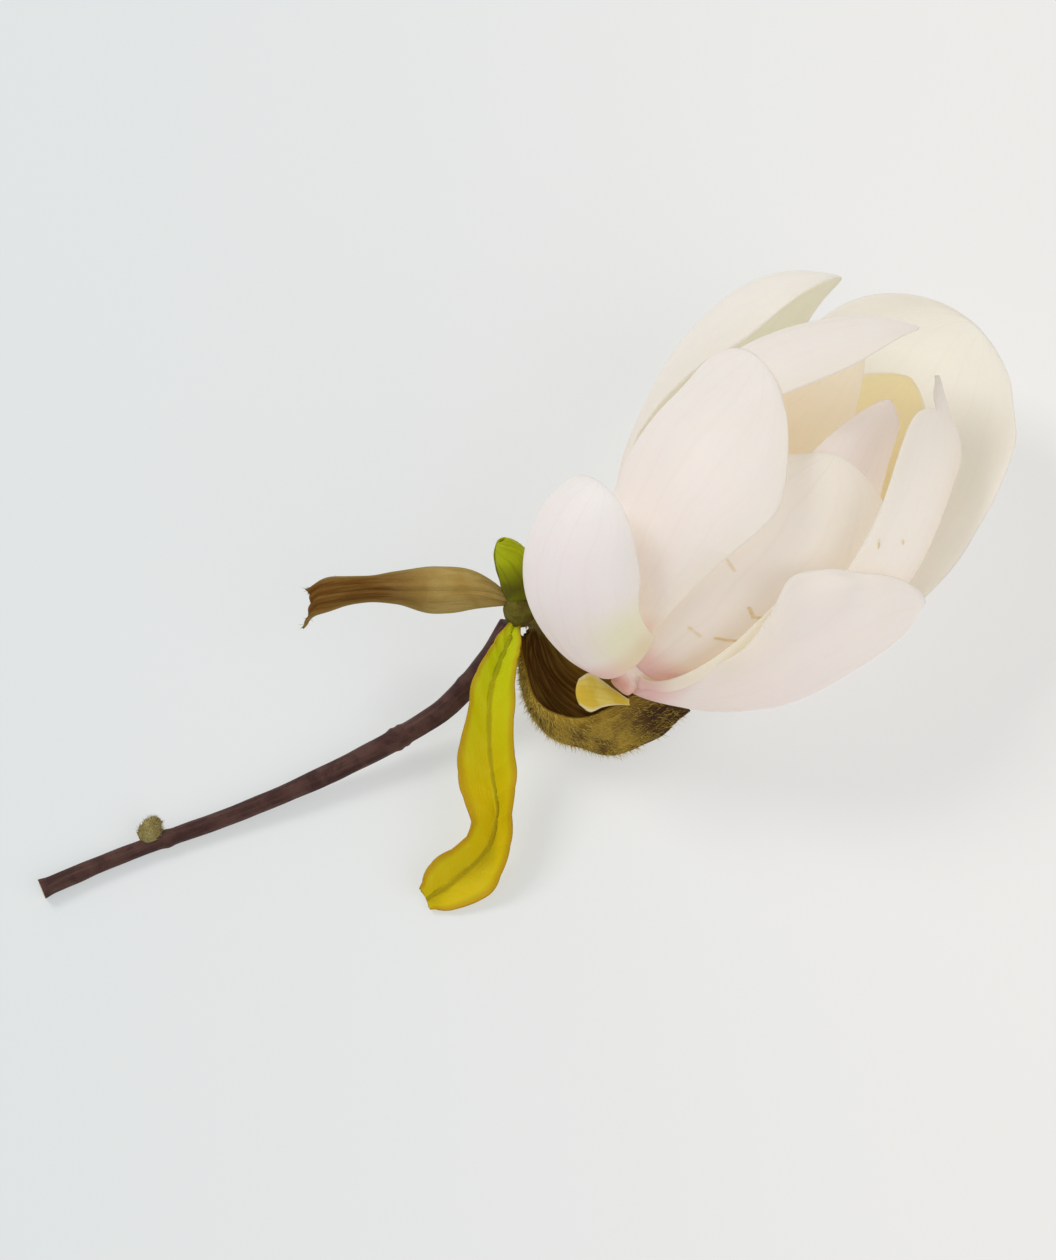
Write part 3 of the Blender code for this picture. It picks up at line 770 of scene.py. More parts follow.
@dataclass(frozen=True)
class Tepal:
    """A spoon-shaped tepal: its place round the axis, its outline, its lean from the axis and its cup."""

    node: str
    turn: float
    length: float
    width: float
    widest: float
    fullness: float
    lean: tuple[float, ...]
    cup: float
    foot: tuple[float, float]
    claw: float
    floor: float
    finish: PetalFinish
    sweep: float = 0.0
    twist: float = 0.0
    curl: tuple[float, float] = (0.0, 0.0)
    point: float = 0.0
    slant: float = 0.0
    hood: float = 0.0
    foot_cup: float = 5.0
    tip_turn: float = 0.0
    wave: float = 0.35
    rows: int = 150
    columns: int = 90
    thickness: float = 0.5

    TIP_HALF_WIDTH = 0.35
    MARGIN_THICKNESS = 0.16

    def share(self) -> Array:
        """Shares of the length, closer together towards the tip."""
        return 1 - (1 - np.linspace(0, 1, self.rows)) ** 1.5

    def half_width(self, share: Array) -> Array:
        """A power of a sine, widened at the foot into the claw and at the tip into the point."""
        skew = np.log(0.5) / np.log(self.widest)
        blade = np.clip(share / (1 - self.point), 0, 1)
        half = self.width / 2 * np.clip(np.sin(np.pi * blade**skew), 0, 1) ** self.fullness
        if self.point:
            spike = 2.2 * np.clip((1 - share) / self.point, 0, 1) * np.clip((share - 0.5) / 0.3, 0, 1)
            half = np.hypot(half, spike)
        return np.sqrt(half**2 + (self.claw * (1 - share) ** 2) ** 2 + self.TIP_HALF_WIDTH**2)

    def surface(self) -> Array:
        """The middle surface, in the bloom's frame.

        The foot-to-tip line leaves the axis by a lean that is a Bernstein polynomial of the four angles.
        Each row across it is an arc of the cup's radius, tighter towards the tip by the hood. Its margins are
        rolled by the cube of the share across. It is turned by the twist and at its tip by the tip's
        turn, carried round the axis by the sweep and sheared along it by the slant.
        """
        share = self.share()
        across = np.linspace(-1, 1, self.columns)[None, :]
        last = len(self.lean) - 1
        lean = np.radians(sum(comb(last, i) * (1 - share) ** (last - i) * share**i * angle
                              for i, angle in enumerate(self.lean)))
        step = np.diff(share, prepend=0) * self.length
        along_foot, out_foot = self.foot
        along = (along_foot + np.cumsum(np.cos(lean) * step))[:, None]
        out = (out_foot + np.cumsum(np.sin(lean) * step))[:, None]
        half = self.half_width(share)[:, None]
        opened = self.foot_cup + (self.cup - self.foot_cup) * np.clip(share / 0.4, 0, 1) ** 0.8
        cup = (opened * (1 - self.hood * share**2))[:, None]
        bend = across * half / cup
        roll = np.where(across < 0, *self.curl) * half * np.abs(across) ** 3
        sideways, inward = cup * np.sin(bend), cup * (1 - np.cos(bend)) - roll
        twist = np.radians(self.twist * share + self.tip_turn * share**10)[:, None]
        sideways, outward = (sideways * np.cos(twist) + inward * np.sin(twist),
                             sideways * np.sin(twist) - inward * np.cos(twist))
        lean = lean[:, None]
        along = along - self.slant * across * half * share[:, None]
        distance = out + np.cos(lean) * outward
        turn = np.radians(self.turn + self.sweep * share**2)[:, None]
        return np.stack([along - np.sin(lean) * outward,
                         distance * np.cos(turn) - sideways * np.sin(turn),
                         distance * np.sin(turn) + sideways * np.cos(turn)], axis=-1)

    def detailed(self, middle: Array, seed: int) -> Array:
        """The settled surface with a slack margin, broad dents and a shallow furrow up its middle."""
        share = self.share()[:, None]
        across = np.linspace(-1, 1, self.columns)[None, :]
        margin = np.abs(across) ** 4 + share**8
        body = np.sin(np.pi * np.clip(share, 0, 1)) ** 0.5
        wave = ripples(middle, 15.0, seed) * margin * self.wave * 1.2
        dents = ripples(middle, 19.0, seed + 1) * 0.22 * body
        furrow = -0.28 * np.exp(-((across / 0.05) ** 2)) * np.clip(1 - share / 0.75, 0, 1)
        fade = np.clip(share / 0.15, 0, 1) * np.clip((1 - share) / 0.04, 0, 1)
        return middle + normals(middle) * ((wave + dents + furrow) * fade)[..., None]

    def wall(self) -> Array:
        """Thickness: thin at the margin and the tip, thicker towards the foot."""
        share = self.share()[:, None]
        across = np.linspace(-1, 1, self.columns)[None, :]
        rim = np.maximum(np.abs(across) ** 6, share**14)
        body = self.thickness * (1 + 0.5 * (1 - share) ** 3)
        return self.MARGIN_THICKNESS + (body - self.MARGIN_THICKNESS) * (1 - rim)


class Whorl(Enum):
    """How far in a ring of tepals stands: distance along the axis and from it at the foot."""

    INNER = (3.2, 2.6)
    MIDDLE = (2.0, 3.4)
    OUTER = (0.8, 4.2)
    LOWEST = (-1.0, 2.0)


@dataclass
class Bloom:
    """The twelve tepals, from the innermost to the outermost, each lying on those inside it."""

    axis: Axis = field(default_factory=Axis)
    soft_floor: float = 0.5
    clearance: float = 0.12

    def tepals(self) -> list[Tepal]:
        """The tepals with their sizes and finishes."""
        inner, middle, outer, lowest = (whorl.value for whorl in Whorl)
        # The gold-tan inner faces of these two tepals are painted shade deep inside the bloom.
        inner_left = PetalFinish("petal_inside_left", inside=(0.89, 0.83, 0.72),
                                 inside_shade=(0.88, 0.79, 0.58), shade_reach=0.9)
        inner_back = PetalFinish("petal_inside_back", inside=(0.86, 0.77, 0.50),
                                 inside_shade=(0.84, 0.69, 0.36), shade_reach=0.9)
        scratched = PetalFinish(
            "petal_front_centre", outside=(0.875, 0.84, 0.785), blush_strength=0.35, marks=(
                Mark((0.392, -0.13), (0.376, -0.16), 0.4), Mark((0.376, -0.16), (0.352, -0.06), 0.45),
                Mark((0.289, 0.15), (0.275, 0.21), 0.8), Mark((0.275, 0.21), (0.290, 0.29), 0.8),
                Mark((0.168, -0.02), (0.168, 0.08), 0.5), Mark((0.184, 0.16), (0.205, 0.29), 0.7),
                Mark((0.205, 0.29), (0.197, 0.39), 0.8), Mark((0.416, 0.24), (0.408, 0.28), 0.35)))
        pricked = PetalFinish(
            "petal_right_pointed", outside=(0.875, 0.84, 0.80), blush_strength=0.25, marks=(
                Mark((0.390, -0.80), (0.384, -0.75), 0.8, 5.0, 0.018),
                Mark((0.431, -0.45), (0.430, -0.43), 0.6, 5.0, 0.018)))
        return [
            Tepal("tepal_inside_left", -129, 56, 27, 0.55, 0.72, (47, 12, -9, -27), 13, inner, 2.0, 7.4,
                  inner_left, sweep=5),
            Tepal("tepal_inside_back", 184, 60, 30, 0.58, 0.65, (53, 17, -5, -25), 14, inner, 2.0, 6.0,
                  inner_back),
            Tepal("tepal_inner_small", 55, 49, 17, 0.56, 0.68, (44, 11, -13, -32), 13, inner, 2.0, 5.0,
                  PetalFinish("petal_inner_small", outside=(0.87, 0.81, 0.80), blush_strength=0.6), sweep=3),
            Tepal("tepal_front_centre", 30, 39.8, 46, 0.5, 0.75, (58, 25, -1, -28), 16, (0.6, 2.4), 4.0, 5.0,
                  scratched, sweep=-4, twist=4, slant=-0.5),
            Tepal("tepal_arching", -84, 68, 38, 0.61, 0.5, (53, 20, -17, -61), 16.5, middle, 2.4, 5.0,
                  PetalFinish("petal_arching", blush_strength=0.25), sweep=31, twist=-6, curl=(0, 0.08)),
            Tepal("tepal_right_pointed", 91, 64, 30, 0.72, 0.5, (61, 20, -15, -55), 20, middle, 2.3, 4.2,
                  pricked, sweep=-7, twist=3, curl=(0.12, 0), point=0.1, tip_turn=60),
            Tepal("tepal_upper_front", -34, 45, 37.5, 0.66, 0.42, (58, 35, 6, -33), 16.3, outer, 3.5, 4.0,
                  PetalFinish("petal_upper_front", blush_strength=0.45), sweep=-5, twist=-4,
                  curl=(-0.09, 0.04), slant=0.2),
            # The darker, yellower inner faces of the two back tepals are painted shade.
            Tepal("tepal_back_right", 150, 74, 47, 0.68, 0.5, (48, 18, -15, -24), 26, outer, 1.8, 2.9,
                  PetalFinish("petal_back_right", inside=(0.83, 0.81, 0.74)), sweep=18, twist=-3,
                  curl=(0, -0.1), hood=0.1, slant=-0.3),
            Tepal("tepal_back_left", -146, 77, 41, 0.6, 0.6, (63, 43, 1, -78), 18.5, outer, 3.0, 1.7,
                  PetalFinish("petal_back_left", inside=(0.82, 0.81, 0.69)), sweep=64, twist=-8,
                  curl=(0, -0.1), hood=0.68),
            # Its creamier outer face is partly its own tone and partly painted shade in the gap under its
            # neighbours.
            Tepal("tepal_under_front", 88, 37.2, 25, 0.6, 0.7, (78, 34, 0, -25), 19, lowest, 2.5, 1.7,
                  PetalFinish("petal_under_front", outside=(0.875, 0.84, 0.74), blush_strength=0.1),
                  sweep=1, curl=(0.04, 0)),
            Tepal("tepal_lower_right", 119, 40.8, 45, 0.6, 0.5, (74, 33, -3, -33), 22, (-1.6, 1.8), 1.5, 0.35,
                  PetalFinish("petal_lower_right", outside=(0.87, 0.835, 0.82), blush=(0.83, 0.76, 0.79),
                              blush_strength=0.6, blush_reach=0.95), sweep=-1, twist=2, curl=(-0.07, 0)),
            Tepal("tepal_outer_left", -40, 32, 28, 0.54, 0.42, (112, 84, 25, -4), 8.5, (-3.4, 3.6), 12, 0.35,
                  PetalFinish("petal_outer_left", outside=(0.86, 0.84, 0.84), blush=(0.82, 0.75, 0.80),
                              blush_strength=0.55, blush_reach=0.95, green=0.55),
                  sweep=8, twist=-10, foot_cup=8.5),
        ]

    def rested(self, points: Array, floor: float) -> Array:
        """Points lifted smoothly to a height where they were below it."""
        lifted = points.copy()
        lifted[..., 2] = floor + self.soft_floor * np.logaddexp(0, (points[..., 2] - floor) / self.soft_floor)
        return lifted

    def build(self) -> None:
        """Lays every tepal on the ones inside it and adds it."""
        outer = OuterMap()
        for seed, tepal in enumerate(self.tepals()):
            middle = self.rested(self.axis.out(outer.lay(tepal.surface())), tepal.floor)
            outer.add(self.axis.back(middle))
            middle, wall = tepal.detailed(middle, 10 + seed), tepal.wall()
            middle[..., 2] = np.maximum(middle[..., 2], wall / 2 + self.clearance)
            add_shell(tepal.node.replace("tepal", "petal"), middle, wall, tepal.finish.material(), tepal.node)


@dataclass
class Heart:
    """What stands in the middle of the bloom: the receptacle, the stamens and the carpels."""

    axis: Axis = field(default_factory=Axis)
    receptacle: tuple[tuple[float, float], ...] = (
        (-2.7, 1.4), (-2.2, 1.6), (-1.5, 1.75), (-0.7, 1.9), (0.0, 2.1), (0.5, 2.8), (1.0, 3.5), (1.5, 3.5),
        (2.2, 2.6), (3.0, 1.2))
    stamen_rows: int = 7
    stamens_a_row: int = 11
    carpel_rows: int = 9
    carpels_a_row: int = 8

    def build(self) -> None:
        """Adds the three pieces."""
        self.add_receptacle()
        self.add_stamens()
        self.add_carpels()

    def add_receptacle(self) -> None:
        """The flared end of the stalk, with a faint ring under each whorl of tepals that stands on it."""
        profile = smooth_line(self.receptacle, 60)
        line = self.axis.out(np.stack([profile[:, 0], np.zeros(60), np.zeros(60)], -1))
        scars = 0.05 * np.sin(profile[:, 0] * 5.0) ** 8
        turn = np.linspace(0, 2 * np.pi, 48, endpoint=False)
        radius = (profile[:, 1] - scars)[:, None] * (1 + 0.03 * np.sin(turn * 6)[None, :])
        # The receptacle's faint glow is painted light, as on the tepals.
        finish = PetalFinish("receptacle_skin", outside=(0.82, 0.70, 0.63), blush_strength=0.0,
                             foot=(0.60, 0.27, 0.20), foot_reach=0.4, translucence=0.0, glow=0.12)
        add_tube("receptacle_cone", line, radius, finish.material(), "receptacle")

    def spiral(self, rows: int, each: int, low: float, high: float) -> tuple[Array, Array]:
        """Heights and turns of pieces set in a spiral round the column."""
        number = np.arange(rows * each)
        height = low + (high - low) * number / (rows * each - 1)
        return height, number * np.radians(137.5)

    def add_straps(self, name: str, shape: Array, height: Array, turn: Array, radius: Array, lean: Array,
                   finish: PlantFinish, replaces: str) -> None:
        """Copies one strap-shaped solid round the column.

        Args:
            name: the piece's name.
            shape: a tube grid of one strap: its rings along x, its breadth along y and its depth along z.
            height: where each copy stands along the axis.
            turn: round it, in radians.
            radius: away from it.
            lean: away from it, in radians.
            finish: what it is made of.
            replaces: the CAD node that it stands for.
        """
        rings, sides = shape.shape[:2]
        x, y, z = np.moveaxis(shape.reshape(-1, 3), -1, 0)
        cos, sin = np.cos(lean)[:, None], np.sin(lean)[:, None]
        along = height[:, None] + x * cos - z * sin
        out = radius[:, None] + x * sin + z * cos
        c, s = np.cos(turn)[:, None], np.sin(turn)[:, None]
        points = self.axis.out(np.stack([along, out * c - y * s, out * s + y * c], -1))
        count = rings * sides
        start = (np.arange(len(height)) * count)[:, None, None]
        body = (grid_faces(rings, sides, wrap=True)[None] + start).reshape(-1, 4)
        first = (np.arange(sides)[::-1][None, None] + start).reshape(-1, sides)
        last = (np.arange(sides)[None, None] + start + count - sides).reshape(-1, sides)
        share = np.repeat(np.linspace(0, 1, rings), sides)
        place = np.pad(np.tile(share, len(height))[:, None], ((0, 0), (0, 2)))
        flow = np.tile(shape.reshape(-1, 3), (len(height), 1)) + np.repeat(turn, count)[:, None]
        faces = body.tolist() + first.tolist() + last.tolist()
        add_piece(name, points.reshape(-1, 3), faces, place, flow, finish.material(), replaces)

    @staticmethod
    def strap(length: float, breadth: float, depth: float, bend: float,
              rings: int = 9, sides: int = 8) -> Array:
        """One strap: ellipses along a bent line, narrow at its foot and round at its tip."""
        t = np.linspace(0, 1, rings)
        swell = np.clip(np.sin(np.pi * np.clip(t * 0.93 + 0.05, 0, 1) ** 0.8), 0.12, 1) ** 0.6
        turn = np.linspace(0, 2 * np.pi, sides, endpoint=False)
        y = np.cos(turn)[None, :] * breadth / 2 * swell[:, None]
        z = np.sin(turn)[None, :] * depth / 2 * swell[:, None] + (bend * t**2)[:, None]
        return np.stack([np.broadcast_to((length * t)[:, None], y.shape), y, z], -1)

    def add_stamens(self) -> None:
        """Flat, slightly bent stamens that stand closely round the foot of the column."""
        height, turn = self.spiral(self.stamen_rows, self.stamens_a_row, 4.3, 7.6)
        radius = np.interp(height, (4.3, 7.6), (2.0, 2.35))
        lean = np.interp(height, (4.3, 7.6), (0.42, 0.12))
        finish = PlantFinish("stamen_skin", (0.80, 0.66, 0.52), (0.74, 0.42, 0.42), (0.62, 0.36, 0.30))
        self.add_straps("stamens", self.strap(4.6, 0.62, 0.34, -0.5), height, turn, radius, lean, finish,
                        "stamen_ring")

    def add_carpels(self) -> None:
        """The column with its carpels, each ending in a curved stigma."""
        height, turn = self.spiral(self.carpel_rows, self.carpels_a_row, 7.4, 16.2)
        radius = np.interp(height, (7.4, 12.0, 16.2), (1.5, 1.5, 0.5))
        lean = np.full_like(height, 0.35)
        finish = PlantFinish("carpel_skin", (0.52, 0.60, 0.24), (0.62, 0.62, 0.34), (0.66, 0.36, 0.30))
        self.add_straps("carpels", self.strap(2.6, 0.7, 0.5, 0.75), height, turn, radius, lean, finish,
                        "pistil_cone")
        profile = smooth_line(((3.3, 0.9), (6.0, 1.3), (11.0, 1.6), (15.0, 1.2), (17.4, 0.3)), 50)
        line = self.axis.out(np.stack([profile[:, 0], np.zeros(50), np.zeros(50)], -1))
        column = PlantFinish("column_skin", (0.50, 0.56, 0.24), (0.58, 0.58, 0.30), (0.40, 0.40, 0.16))
        add_tube("carpel_column", line, np.repeat(profile[:, 1:], 32, axis=1), column.material())


# Twig, stalk and leaves


@dataclass
class Stem:
    """The cut twig with its node and side bud, and the hairy stalk of the flower."""

    twig_line: tuple[Point, ...] = (
        (-62.0, -39.0, 1.5), (-50.5, -33.5, 1.45), (-38.0, -28.5, 1.7), (-25.5, -23.0, 2.8),
        (-13.5, -16.8, 5.0), (-8.5, -13.5, 7.4), (-4.8, -10.0, 10.6), (-2.3, -7.5, 13.9))
    twig_radius: tuple[float, ...] = (1.12, 1.02, 1.12, 1.3, 1.42, 1.5, 1.45, 1.6)
    stalk_line: tuple[Point, ...] = (
        (-0.6, -6.4, 15.6), (3.2, -7.3, 14.4), (7.2, -9.6, 13.6), (12.0, -14.0, 14.2))
    ring_scars: tuple[Point, ...] = (
        (0.695, 0.22, 0.5), (0.71, 0.18, 0.4), (0.24, 0.16, 0.7), (0.86, 0.15, 0.8))
    node_middle: Point = (-1.0, -6.3, 16.0)
    node_radii: Point = (2.0, 2.2, 2.6)
    side_bud_line: tuple[Point, ...] = (
        (-49.2, -32.6, 1.8), (-48.7, -31.5, 2.2), (-48.1, -30.4, 2.6), (-47.4, -29.6, 2.9))

    def build(self) -> None:
        """Adds the twig, its node, its side bud and the stalk."""
        bark = PlantFinish("bark", (0.055, 0.022, 0.019), (0.10, 0.046, 0.036), (0.14, 0.08, 0.06), 0.55,
                           patch_scale=0.35, depth=0.25, inside=(0.72, 0.62, 0.42)).material()
        self.add_twig(bark)
        self.add_node()
        self.add_side_bud()
        self.add_stalk()

    def add_twig(self, bark: bpy.types.Material) -> None:
        """A wrinkled rod with ring scars, its far end cut square and showing pale wood."""
        rings, sides = 340, 36
        line = smooth_line(self.twig_line, rings)
        share = np.linspace(0, 1, rings)
        base = np.interp(share, np.linspace(0, 1, len(self.twig_radius)), self.twig_radius)
        turn = np.linspace(0, 2 * np.pi, sides, endpoint=False)
        length = running_length(line)
        flow = np.stack([np.cos(turn)[None] * base[:, None] * 2.2, np.sin(turn)[None] * base[:, None] * 2.2,
                         np.broadcast_to(length[:, None] * 0.25, (rings, sides))], -1)
        radius = base[:, None] * (1 + 0.045 * ripples(flow, 2.2, 3) + 0.03 * ripples(flow, 0.9, 4))
        for place, rise, wide in self.ring_scars:
            radius += (rise * np.exp(-(((length - place * length[-1]) / wide) ** 2)))[:, None]
        radius += (0.16 * np.exp(-((length / 0.8) ** 2)))[:, None]
        face = np.array([0.35, 0.72, 0.93])
        start = np.repeat(line[:1], 3, axis=0) + (line[1] - line[0]) * np.array([[-0.02], [-0.015], [-0.01]])
        line = np.concatenate([start, line])
        radius = np.concatenate([radius[:1] * face[:, None], radius])
        cut = np.concatenate([np.ones(3), np.zeros(rings)])
        add_tube("twig_bark", line, radius, bark, "twig", cut)

    def add_node(self) -> None:
        """The swollen node, with the scars of fallen scales round it."""
        finish = PlantFinish("node_skin", (0.11, 0.075, 0.010), (0.18, 0.16, 0.015), (0.06, 0.035, 0.008),
                             depth=0.3)
        rings, sides = 60, 48
        polar = np.linspace(0.06, np.pi - 0.06, rings)
        turn = np.linspace(0, 2 * np.pi, sides, endpoint=False)
        place = np.stack([np.sin(polar)[:, None] * np.cos(turn), np.sin(polar)[:, None] * np.sin(turn),
                          np.broadcast_to(-np.cos(polar)[:, None], (rings, sides))], -1)
        ridge = 0.06 * np.sin(place[..., 2] * 13.0) + 0.05 * ripples(place, 0.7, 8)
        line = np.array(self.node_middle) + np.stack([np.zeros(rings), np.zeros(rings),
                                                      -np.cos(polar) * self.node_radii[2]], -1)
        radius = np.sin(polar)[:, None] * (self.node_radii[0] + 0.1) * (1 + ridge)
        add_tube("node_swelling", line, radius, finish.material(), "node")

    def add_side_bud(self) -> None:
        """A low bud of overlapping scales that leans along the twig, pale and downy."""
        finish = PlantFinish("side_bud_skin", (0.26, 0.20, 0.06), (0.36, 0.30, 0.12), (0.12, 0.08, 0.03), 0.8,
                             patch_scale=0.8, depth=0.3)
        rings, sides = 70, 40
        t = np.linspace(0, 1, rings)
        line = smooth_line(self.side_bud_line, rings)
        turn = np.linspace(0, 2 * np.pi, sides, endpoint=False)
        swell = 1.5 * np.sin(np.pi * np.clip(t * 0.93 + 0.05, 0, 1) ** 0.75) ** 0.75
        steps = 0.10 * ((t[:, None] * 4 + turn[None] / (2 * np.pi) * 2) % 1.0)
        radius = swell[:, None] * (0.93 + steps)
        add_tube("side_bud_scales", line, radius, finish.material(), "side_bud")
        grid = tube_points(line, radius)
        self.add_down("side_bud_down", grid, 700, 0.5, 21, (0.46, 0.38, 0.17))

    @staticmethod
    def add_down(name: str, grid: Array, count: int, length: float, seed: int, colour: Colour) -> None:
        """Short hairs on a tube, leaning towards its tip."""
        rng = np.random.default_rng(seed)
        rows, columns = grid.shape[:2]
        i, j = rng.integers(2, rows - 4, count), rng.integers(0, columns, count)
        root = grid[i, j]
        out = root - grid[i].mean(axis=1)
        out /= np.linalg.norm(out, axis=1, keepdims=True)
        tangent = grid[i + 2].mean(axis=1) - grid[i - 2].mean(axis=1)
        tangent /= np.linalg.norm(tangent, axis=1, keepdims=True)
        way = out + tangent * 0.9 + rng.normal(scale=0.25, size=out.shape)
        way /= np.linalg.norm(way, axis=1, keepdims=True)
        finish = PlantFinish(name + "_skin", colour, colour, colour, 0.75)
        lengths = rng.uniform(0.5, 1.2, count) * length
        add_hairs(name, root - out * 0.05, way, lengths, 0.035, finish.material(), seed)

    def add_stalk(self) -> None:
        """The short thick stalk of the flower, downy all over."""
        finish = PlantFinish("stalk_skin", (0.16, 0.11, 0.02), (0.24, 0.18, 0.03), (0.12, 0.06, 0.02), 0.7)
        rings, sides = 70, 40
        line = smooth_line(self.stalk_line, rings)
        share = np.linspace(0, 1, rings)
        turn = np.linspace(0, 2 * np.pi, sides, endpoint=False)
        radius = (1.45 + 0.15 * share)[:, None] * (1 + 0.03 * np.sin(turn * 5)[None])
        add_tube("stalk_skin", line, radius, finish.material(), "flower_stalk")
        self.add_down("stalk_down", tube_points(line, radius), 1100, 0.8, 22, (0.36, 0.27, 0.09))


@dataclass
class Leaves:
    """The young leaf, its curled neighbour, the dry bract, the boat-shaped bud scale and the yellow lobe."""

    leaf_left: tuple[Point, ...] = (
        (-1.9, -7.2, 15.4), (-4.0, -10.4, 15.2), (-5.6, -12.6, 14.6), (-7.0, -16.5, 13.0),
        (-8.5, -23.5, 10.5), (-8.5, -28.0, 9.0), (-7.0, -32.5, 7.5), (-8.5, -35.0, 6.3),
        (-12.0, -37.0, 4.8), (-13.5, -40.0, 3.5))
    leaf_middle: tuple[Point, ...] = (
        (-1.6, -7.6, 15.0), (-2.7, -10.4, 13.9), (-3.7, -12.4, 12.9), (-4.8, -15.8, 11.2), (-5.0, -21.5, 8.4),
        (-4.5, -25.8, 6.2), (-4.0, -30.0, 4.8), (-5.5, -34.5, 3.0), (-9.5, -37.8, 1.6), (-13.0, -40.2, 1.2))
    leaf_right: tuple[Point, ...] = (
        (-1.0, -7.6, 15.6), (-1.2, -10.8, 15.0), (-1.5, -13.4, 14.3), (-2.0, -18.5, 12.2), (-1.8, -25.0, 9.6),
        (-2.0, -30.0, 8.0), (-2.5, -35.0, 5.6), (-4.5, -39.5, 2.6), (-9.0, -41.5, 1.0), (-12.5, -41.5, 0.9))
    knob_line: tuple[Point, ...] = (
        (-1.0, -5.2, 16.8), (-1.5, -3.6, 18.8), (-2.4, -1.6, 21.2), (-3.4, -0.2, 23.2))
    bract_far: tuple[Point, ...] = (
        (-2.2, -4.8, 16.6), (-4.6, -2.8, 16.9), (-7.5, -1.6, 17.8), (-12.0, -1.2, 18.4), (-17.0, -2.0, 18.3),
        (-21.5, -2.4, 17.9), (-26.2, -2.0, 17.0), (-28.0, -3.2, 16.2))
    bract_middle: tuple[Point, ...] = (
        (-2.2, -5.3, 16.9), (-4.6, -4.6, 17.9), (-7.5, -4.4, 18.6), (-12.0, -4.8, 19.0), (-17.0, -4.4, 18.6),
        (-21.5, -4.2, 18.0), (-26.6, -4.4, 16.9), (-28.2, -4.8, 15.6))
    bract_near: tuple[Point, ...] = (
        (-2.2, -5.6, 16.2), (-4.6, -5.4, 15.6), (-7.5, -5.4, 15.0), (-12.0, -5.8, 14.6), (-17.0, -4.9, 15.6),
        (-21.5, -5.0, 15.8), (-26.8, -6.2, 14.8), (-28.2, -7.6, 13.6))
    scale_near: tuple[Point, ...] = (
        (-1.0, -8.4, 13.8), (-0.4, -12.9, 12.8), (0.6, -16.3, 11.6), (2.3, -18.1, 10.6), (5.1, -18.6, 9.8),
        (8.0, -18.2, 9.4), (10.8, -16.8, 9.2), (13.7, -14.8, 8.8), (17.2, -13.5, 6.8), (20.8, -13.7, 4.4))
    scale_middle: tuple[Point, ...] = (
        (-0.6, -7.8, 11.8), (-0.3, -11.9, 8.6), (1.3, -15.1, 6.2), (3.6, -17.3, 4.4), (6.5, -18.7, 3.4),
        (9.9, -19.7, 2.8), (13.1, -19.2, 2.4), (16.2, -17.5, 2.4), (18.9, -15.5, 2.8), (21.0, -13.9, 3.6))
    scale_far: tuple[Point, ...] = (
        (0.8, -5.4, 12.6), (2.4, -6.2, 12.6), (4.3, -7.6, 12.0), (6.7, -9.8, 11.4), (9.6, -12.0, 10.2),
        (12.2, -13.1, 9.2), (14.5, -13.6, 8.0), (16.6, -13.6, 6.8), (18.8, -13.6, 5.6), (20.9, -14.1, 4.6))
    lobe_far: tuple[Point, ...] = (
        (13.0, -16.9, 11.4), (11.0, -16.0, 12.4), (9.4, -15.0, 13.2), (7.9, -14.3, 13.8), (6.5, -15.0, 13.5))
    lobe_middle: tuple[Point, ...] = (
        (13.0, -17.2, 11.1), (11.1, -16.9, 11.9), (9.4, -16.7, 12.4), (7.9, -16.6, 12.7), (6.1, -16.6, 12.8))
    lobe_near: tuple[Point, ...] = (
        (13.1, -17.4, 10.9), (11.2, -17.6, 11.3), (9.5, -18.1, 11.6), (8.0, -18.9, 11.8), (6.6, -18.1, 12.2))

    def build(self) -> None:
        """Adds the five pieces and the down on them."""
        self.add_leaf()
        self.add_knob()
        self.add_bract()
        self.add_scale()
        self.add_lobe()

    def add_leaf(self) -> None:
        """The folded leaf, its side veins pressed in and its end curled aside."""
        rows, columns = 180, 64
        middle = between_lines((self.leaf_left, self.leaf_middle, self.leaf_right), rows, columns, 1.4)
        share = np.linspace(0, 1, rows)[:, None]
        across = np.linspace(-1, 1, columns)[None, :]
        vein = 0.16 * np.abs(np.sin((share * 13 + np.abs(across) * 1.4) * np.pi)) ** 0.6
        crease_line = -0.35 * np.exp(-((across / 0.07) ** 2))
        wave = 0.35 * ripples(middle, 7.0, 31) * np.abs(across) ** 2
        middle = middle + normals(middle) * (vein + crease_line + wave)[..., None]
        middle[..., 2] = np.maximum(middle[..., 2], 0.55)
        wall = 0.22 + 0.3 * (1 - np.abs(across) ** 5) * np.ones_like(share)
        # The dark line along the middle fold is painted shade.
        finish = PlantFinish("leaf_skin", (0.54, 0.60, 0.002), (0.62, 0.54, 0.003), (0.32, 0.36, 0.001), 0.55,
                             patch_scale=0.12, depth=0.1, subsurface=0.1, margin=(0.46, 0.20, 0.008),
                             inside=(0.56, 0.59, 0.002), far=(0.68, 0.51, 0.003), far_from=(0.15, 0.65),
                             crease_line=(0.24, 0.17, 0.002))
        add_shell("leaf_blade", middle, wall, finish.material(), "young_leaf")

